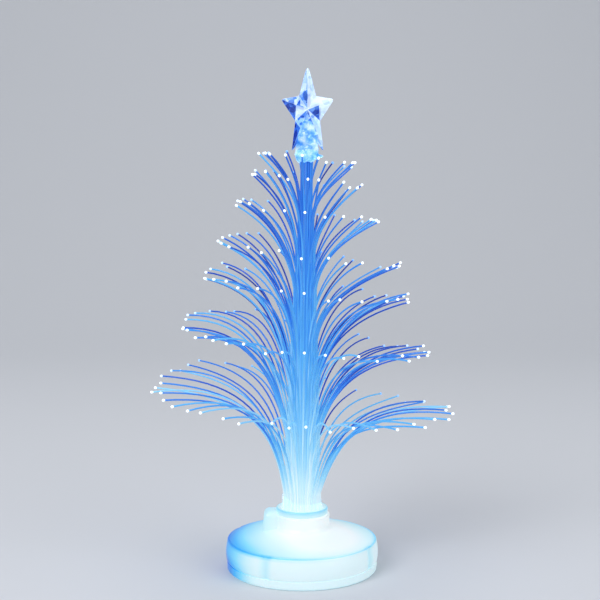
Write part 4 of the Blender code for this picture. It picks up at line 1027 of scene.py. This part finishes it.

# The painted light and shade of each tip's four facets, in the order in which star_side makes
# them
FACET_GLOWS = (
    (0.32, 0.62, 1.0, 0.92),
    (0.98, 1.0, 0.93, 0.32),
    (0.92, 0.95, 0.78, 0.12),
    (0.46, 0.42, 0.05, 0.50),
    (1.0, 0.05, 0.64, 0.55),
)
FACET_MATCH = 0.9995
# The painted light on faces that rounding made: more towards one way, and painted glints along
# the edges
STAR_GLOW = 0.42
STAR_GLOW_RISE = 0.60
STAR_GLOW_WAY = (0.80, 0.0, 0.60)
EDGE_GLOW = 0.35
# Painted glints and shade in sharp patches, as in cut glass: their scale, the range of their
# noise and the glow they change
PATCH_SCALE = 800.0
PATCH_RANGE = (0.2, 0.8)
PATCH_GLOWS = (-0.25, 0.25)

STAR_LIGHT = (
    (0.0, (0.0, 0.012, 0.22)),
    (0.3, (0.01, 0.09, 0.60)),
    (0.6, (0.22, 0.52, 0.90)),
    (1.0, (0.78, 0.88, 0.92)),
)
STAR_BASE = ((0.0, (0.002, 0.015, 0.20)), (0.4, (0.03, 0.15, 0.62)), (1.0, (0.70, 0.82, 0.90)))


def star_material(name):
    """Clear acrylic that carries the fibres' light, with painted light and shade by facet and in
    sharp patches.
    """
    clear = clear_plastic(name, CLEAR_TINT, 0.03, clearness=0.60, ior=1.49, light=0.37)
    spots = add(clear, "ShaderNodeTexCoord").outputs["Object"]
    patches = add(clear, "ShaderNodeTexVoronoi", Scale=PATCH_SCALE)
    link(spots, patches.inputs["Vector"])
    change = map_range(clear, patches.outputs["Color"], PATCH_RANGE, PATCH_GLOWS)
    glow = number_math(clear, "ADD", written_glow(clear), change)
    return lit_by(clear, glow, STAR_LIGHT, STAR_BASE)


def star_side(points, faces, lights, rim, front):
    """The front (1) or back (-1), with valleys to the notches and ridges to the tips."""
    start = len(points)
    count = len(rim)
    for x, y in rim:
        points.append((x, -front * STAR_EDGE, y))
    points.append((0.0, -front * STAR_HALF, 0.0))
    middle = start + count
    for index in range(0, count, 2):
        x, y = rim[index]
        depth = STAR_HALF * RIDGE_DEPTH_SHARE
        points.append((x * RIDGE_REACH_SHARE, -front * depth, y * RIDGE_REACH_SHARE))
        ridge = len(points) - 1
        before, after = start + (index - 1) % count, start + (index + 1) % count
        tip = start + index
        around = (middle, before, tip, after, middle)
        for corner, following, light in zip(around, around[1:], FACET_GLOWS[index // 2]):
            facet = (corner, following, ridge)
            faces.append(facet if front > 0 else facet[::-1])
            first, second, third = (Vector(points[number]) for number in facet)
            normal = (second - first).cross(third - first).normalized()
            lights.append((normal if normal.y * front < 0 else -normal, light))
    return start


def round_edges(obj, tip_edges):
    """Rounds the top tip most, the other tips less, and then every edge a little."""
    bm = bmesh.new()
    bm.from_mesh(obj.data)
    bmesh.ops.recalc_face_normals(bm, faces=bm.faces)
    bm.verts.ensure_lookup_table()
    tips = [bm.edges.get((bm.verts[first], bm.verts[second])) for first, second in tip_edges]
    roundings = (
        (tips[:1], STAR_TOP_ROUNDING, 5),
        (tips[1:], STAR_TIP_ROUNDING, 3),
        (None, STAR_ROUNDING, 2),
    )
    for edges, rounding, steps in roundings:
        values = {"offset": rounding, "segments": steps, "profile": 0.5, "material": 1}
        edges = edges or bm.edges[:]
        bmesh.ops.bevel(bm, geom=edges, affect="EDGES", clamp_overlap=True, **values)
    bm.to_mesh(obj.data)
    bm.free()


def add_socket(star, materials):
    """Joins the tubular socket to the star, and bores both for the bundle."""
    for profile, operation in ((SOCKET_PROFILE, "UNION"), (BORE_PROFILE, "DIFFERENCE")):
        tube = turned("tube", profile, materials, SOCKET_STEPS)
        for vertex in tube.data.vertices:
            vertex.co.x += lean(STAR_CENTRE)
        combine(star, tube, operation)
    clean(star)


def star_glow(face, lights):
    """The painted light and shade of a facet that still lies flat, or of a face that rounding
    made.
    """
    match, light = max((face.normal.dot(way), light) for way, light in lights)
    rounded = face.material_index
    if match > FACET_MATCH and not rounded:
        return light
    glow = STAR_GLOW + STAR_GLOW_RISE * face.normal.dot(Vector(STAR_GLOW_WAY))
    return glow + EDGE_GLOW if rounded else glow


def build_star():
    materials = (star_material("clear_star"), star_material("star_edge"))
    rim = list(STAR_RIM) + [(-x, y) for x, y in STAR_RIM[-2:0:-1]]
    count = len(rim)
    points, faces, lights = [], [], []
    front = star_side(points, faces, lights, rim, 1)
    back = star_side(points, faces, lights, rim, -1)
    for index in range(count):
        after = (index + 1) % count
        faces.append((front + index, back + index, back + after, front + after))
    centre = Vector((lean(STAR_CENTRE), 0, STAR_CENTRE))
    points = [Vector(point) + centre for point in points]
    star = mesh_object("star", points, faces, materials)
    round_edges(star, [(front + index, back + index) for index in range(0, count, 2)])
    add_socket(star, materials)
    write_glow(star, [star_glow(face, lights) for face in star.data.polygons], "FACE")
    put(smooth(star, 12), "base", "star_topper")


# Glue

GLUE_BOTTOM = 0.0983
GLUE_HEIGHT = 0.0096
GLUE_BORE = 0.00166
GLUE_LEAST = 0.00172
GLUE_MOST = 0.0040
GLUE_STEPS = 84
GLUE_RINGS = 64
# The run's mean radius by its share of the height
GLUE_PROFILE = (
    (0.0, 0.00175),
    (0.03, 0.00215),
    (0.10, 0.00262),
    (0.20, 0.00285),
    (0.34, 0.00272),
    (0.50, 0.00252),
    (0.70, 0.00240),
    (0.90, 0.00232),
    (0.97, 0.00222),
    (1.0, 0.00212),
)
# Its slow waves up and down, its lumps and its pits, each with its size and noise
WAVE_HEIGHT = 0.0020
WAVE_SCALE = 1.4
WAVE_RISE_SCALE = 2
LUMP_DEPTH = 0.00038
LUMP_SCALE = 2.1
LUMP_HEIGHT = 0.0012
LUMP_OFFSET = (3.1, 0.4, 0)
PIT_DEPTH = 0.00030
PIT_SCALE = 2.3
PIT_OFFSET = (7.7, 1.3, 5.1)
# They fade at both ends. Then the flap on its right
END_SHARE = 0.02
END_POWER = 0.6
FLAP_REACH = 0.0015
FLAP_AZIMUTH = 0.12
FLAP_POWER = 7
FLAP_SHARE = 0.07
FLAP_WIDTH_SHARE = 0.05
# Its glow, on average and by lump, pit and flap, and in its bore
GLUE_GLOW = 0.50
LUMP_GLOW = 0.85
PIT_GLOW = 0.7
PIT_MEAN = 0.25
FLAP_SHADE = 0.35
BORE_GLOW = 0.6

GLUE_LIGHT = ((0.0, (0.03, 0.23, 0.64)), (0.5, (0.24, 0.58, 0.84)), (1.0, (0.70, 0.92, 0.96)))
GLUE_BASE = ((0.0, (0.09, 0.36, 0.74)), (0.5, (0.34, 0.62, 0.86)), (1.0, (0.78, 0.90, 0.94)))


def glue_material():
    made = clear_plastic("hot_melt_glue", CLEAR_TINT, 0.16, clearness=0.55, ior=1.47, light=0.45)
    return lit_by(made, written_glow(made), GLUE_LIGHT, GLUE_BASE)


def glue_spot(share, azimuth):
    """The glue's outer skin at a share of its height: its radius, level and glow."""
    across, along = polar(1, azimuth)
    wave = noise.noise(Vector((across * WAVE_SCALE, along * WAVE_SCALE, share * WAVE_RISE_SCALE)))
    level = GLUE_BOTTOM + GLUE_HEIGHT * share + WAVE_HEIGHT * (share - 0.5) * wave
    seed = Vector((across * LUMP_SCALE, along * LUMP_SCALE, level / LUMP_HEIGHT))
    lump = noise.noise(seed + Vector(LUMP_OFFSET))
    pit = abs(noise.noise(seed * PIT_SCALE + Vector(PIT_OFFSET)))
    roughness = sin(pi * clamp(share, END_SHARE, 1 - END_SHARE)) ** END_POWER
    flap = max(cos(azimuth - FLAP_AZIMUTH), 0) ** FLAP_POWER
    flap *= exp(-(((share - FLAP_SHARE) / FLAP_WIDTH_SHARE) ** 2))
    radius = stepped(share, GLUE_PROFILE) + roughness * (LUMP_DEPTH * lump - PIT_DEPTH * pit)
    radius = clamp(radius + FLAP_REACH * flap, GLUE_LEAST, GLUE_MOST)
    glow = GLUE_GLOW + LUMP_GLOW * lump + PIT_GLOW * (pit - PIT_MEAN) - FLAP_SHADE * flap
    return radius, level, glow


def build_glue():
    """An uneven run of glue from the bundle up round the socket, with a flap on its right."""
    shares = [ring / GLUE_RINGS for ring in range(GLUE_RINGS + 1)]
    azimuths = [tau * step / GLUE_STEPS for step in range(GLUE_STEPS)]
    spots = [(azimuth, *glue_spot(share, azimuth)) for share in shares for azimuth in azimuths]
    for share in shares:
        level = GLUE_BOTTOM + GLUE_HEIGHT * (1 - share)
        spots += [(azimuth, GLUE_BORE, level, BORE_GLOW) for azimuth in azimuths]
    points = [on_bundle(radius, level, azimuth) for azimuth, radius, level, _ in spots]
    rings = 2 * len(shares)
    faces = ring_faces(rings, rings, GLUE_STEPS)
    glue = mesh_object("glue_blob", points, faces, (glue_material(),))
    write_glow(glue, [glow for *_, glow in spots])
    put(smooth(glue, 24), "base", "star_glue")


# Plain finishes

# Each as its colour, roughness, metallic value, and the grain's scale, bump and roughness range
FINISHES = {
    "zinc": ((0.60, 0.61, 0.63), 0.30, 1.0, (3000, 0.10, 0.22, 0.40)),
    "tinned_lead": ((0.78, 0.78, 0.79), 0.30, 1.0, (4000, 0.05, 0.25, 0.40)),
    "wire_pvc": ((0.02, 0.02, 0.022), 0.45, 0.0, (2500, 0.05, 0.38, 0.52)),
    "switch_sheet": ((0.66, 0.67, 0.69), 0.35, 1.0, (2500, 0.06, 0.28, 0.42)),
    "switch_black": ((0.03, 0.03, 0.033), 0.50, 0.0, (3000, 0.10, 0.42, 0.58)),
    "cell_nickel": ((0.74, 0.75, 0.77), 0.25, 1.0, (2500, 0.05, 0.18, 0.34)),
    "strip_nickel": ((0.78, 0.75, 0.66), 0.30, 1.0, (3000, 0.05, 0.22, 0.38)),
}
# Each of them that CAD nodes take, with their slot and their names
PLAIN_NODES = (
    ("tinned_lead", "lead_tin", ("led_lead_anode", "led_lead_cathode")),
    ("wire_pvc", "wire_sheath", ("wire_negative",)),
    ("switch_sheet", "switch_steel", ("slide_switch_body",)),
    ("switch_black", "switch_plastic", ("slide_switch_knob",)),
    ("cell_nickel", "cell_steel", ("button_cell_1", "button_cell_2", "button_cell_3")),
    ("strip_nickel", "contact_nickel", ("contact_negative", "contact_positive")),
    ("strip_nickel", "contact_nickel", ("series_bridge_top", "series_bridge_bottom")),
)


def finish(name):
    """A finish from the table, made the first time that it is asked for."""
    if name in bpy.data.materials:
        return bpy.data.materials[name]
    color, roughness, metallic, grained = FINISHES[name]
    return grain(node_material(name, color, roughness, Metallic=metallic), *grained)


# Screws

# A screw's profile as radius and height above its head: its point, the crest and root of one
# turn of its thread, which lie below the turn's start, and its pan head
SCREW_STEPS = 32
SCREW_CORE = 0.00005
POINT_PROFILE = ((SCREW_CORE, 0.0044), (0.00035, 0.0044), (0.00075, 0.0040))
THREAD_PROFILE = ((0.00075, -0.0001), (0.00063, -0.00025))
THREAD_TOP = 0.0040
THREAD_PITCH = 0.00035
THREAD_TURNS = 8
HEAD_PROFILE = ((0.00075, 0.0010), (0.00155, 0.0010))
HEAD_RADIUS = 0.0016
HEAD_ROUNDING = 0.0005
RECESS_HALF_LENGTH = 0.00085
RECESS_HALF_WIDTH = 0.00016
RECESS_DEPTH = 0.00045

# Where the screws stand, and how high their heads lie
CASE_SCREW_RADIUS = 0.0142
CASE_SCREW_AZIMUTHS_DEG = (35.0, -35.0)
CASE_SCREW_LOW = 0.0004
DOOR_SCREW_PLACE = (0.006, 0.0)
DOOR_SCREW_LOW = 0.00045


def screw_profile():
    turns = [THREAD_TOP - turn * THREAD_PITCH for turn in range(THREAD_TURNS)]
    return [
        *POINT_PROFILE,
        *((radius, level + drop) for level in turns for radius, drop in THREAD_PROFILE),
        *HEAD_PROFILE,
        *arc((HEAD_RADIUS - HEAD_ROUNDING, HEAD_ROUNDING), HEAD_ROUNDING, 0, -90, 5),
        (SCREW_CORE, 0.0),
    ]


def build_screw(name, node, body, centre, low):
    """A pan-head screw with a cross recess, driven upwards."""
    profile = [(radius, low + height) for radius, height in screw_profile()]
    screw = turned(name, profile, (finish("zinc"),), SCREW_STEPS)
    long, short = RECESS_HALF_LENGTH, RECESS_HALF_WIDTH
    for half_x, half_y in ((long, short), (short, long)):
        slot_low = (-half_x, -half_y, low - OVERRUN)
        slot = box("slot", slot_low, (half_x, half_y, low + RECESS_DEPTH))
        clean(combine(screw, slot, "DIFFERENCE"))
    for vertex in screw.data.vertices:
        vertex.co.x += centre[0]
        vertex.co.y += centre[1]
    put(smooth(screw, 30), body, node)


def build_screws():
    for number, azimuth_deg in enumerate(CASE_SCREW_AZIMUTHS_DEG, 1):
        centre = polar(CASE_SCREW_RADIUS, radians(azimuth_deg))
        node = f"base_screw_{number}"
        build_screw(f"case_screw_{number}", node, "base", centre, CASE_SCREW_LOW)
    node = "battery_door_screw"
    build_screw("door_screw_head", node, "door_screw", DOOR_SCREW_PLACE, DOOR_SCREW_LOW)


# CAD nodes that are shown as they are

NODE_SMOOTH_DEG = 28.0
EPOXY_TINT = (0.85, 0.93, 1.0)
EPOXY_LIGHT = (0.7, 0.9, 1.0, 1)


def door_material():
    """Milky plastic that the lamp reaches less."""
    values = {"Emission_Strength": 0.20, "Emission_Color": (0.3, 0.7, 0.9, 1), **SCATTERING}
    made = node_material("door_plastic", (0.74, 0.86, 0.92), 0.42, **values)
    return grain(made, 1400, 0.08, 0.36, 0.5)


def lamp_material():
    made = clear_plastic("clear_epoxy", EPOXY_TINT, 0.05, clearness=0.85, ior=1.5, light=0.6)
    shader_of(made).inputs["Emission Color"].default_value = EPOXY_LIGHT
    return made


def dress_nodes():
    looks = [
        ("base_tray", tray_material(), "tray"),
        ("battery_door", door_material(), "door"),
        ("led_lamp", lamp_material(), "lamp_epoxy"),
    ]
    looks += [(node, finish(name), slot) for name, slot, nodes in PLAIN_NODES for node in nodes]
    for name, material, slot in looks:
        node = NODES[name]
        node.data.materials.clear()
        node.data.materials.append(material)
        smooth(node, NODE_SMOOTH_DEG)


# Stage

# The sweep is a floor that bends up into a backdrop behind the tree
SWEEP_COLOR = (0.62, 0.64, 0.68)
SWEEP_HALF_WIDTH = 3.0
SWEEP_DEPTH = 3.0
SWEEP_HEIGHT = 2.4
BEND_START = 0.35
BEND_RADIUS = 0.5
BEND_STEPS = 15
# Each soft lamp as its name, place, size and power
LAMPS = (
    ("key", (-0.45, -0.55, 0.65), 0.50, 5.0),
    ("fill", (0.60, -0.45, 0.35), 0.60, 2.2),
    ("top", (0.0, 0.10, 0.90), 0.70, 3.0),
)
LAMP_TARGET = (0, 0, 0.05)
WORLD_COLOR = (0.72, 0.75, 0.80)
WORLD_STRENGTH = 0.35
# The camera, as in the photograph
IMAGE_PIXELS = 600
FOCAL_PIXELS = 1256.0
SENSOR = 36.0
CAMERA_PLACE = (-0.00048, -0.298, 0.0968)
CAMERA_PITCH_DEG = 6.0


def build_sweep():
    pale = node_material("pale_sweep", SWEEP_COLOR, 0.75)
    bend = arc((BEND_START, BEND_RADIUS), BEND_RADIUS, -90, 0, BEND_STEPS)
    line = [(-SWEEP_DEPTH, 0.0), *bend, (BEND_START + BEND_RADIUS, SWEEP_HEIGHT)]
    points = [(x, y, z) for y, z in line for x in (-SWEEP_HALF_WIDTH, SWEEP_HALF_WIDTH)]
    faces = [(2 * i, 2 * i + 1, 2 * i + 3, 2 * i + 2) for i in range(len(line) - 1)]
    sweep = mesh_object("sweep", points, faces, (pale,))
    sweep.data.shade_smooth()


def build_lights():
    for name, spot, size, power in LAMPS:
        light = bpy.data.lights.new(name, "AREA")
        light.size = size
        light.energy = power
        obj = make_object(name, light)
        obj.location = spot
        aim = Vector(LAMP_TARGET) - Vector(spot)
        obj.rotation_euler = aim.to_track_quat("-Z", "Y").to_euler()
    world = bpy.data.worlds.new("studio")
    world.use_nodes = True
    background = world.node_tree.nodes["Background"]
    background.inputs["Color"].default_value = (*WORLD_COLOR, 1)
    background.inputs["Strength"].default_value = WORLD_STRENGTH
    bpy.context.scene.world = world


def build_camera():
    camera = bpy.data.cameras.new("camera")
    camera.sensor_width = SENSOR
    camera.lens = FOCAL_PIXELS / IMAGE_PIXELS * SENSOR
    camera.clip_start = 0.01
    obj = make_object("camera", camera)
    obj.location = CAMERA_PLACE
    obj.rotation_euler = (radians(90 - CAMERA_PITCH_DEG), 0, 0)
    bpy.context.scene.camera = obj
    bpy.context.scene.view_settings.view_transform = "Standard"


build_fibres()
build_housing()
build_ferrule()
build_wrap()
build_star()
build_glue()
build_screws()
dress_nodes()
build_sweep()
build_lights()
build_camera()
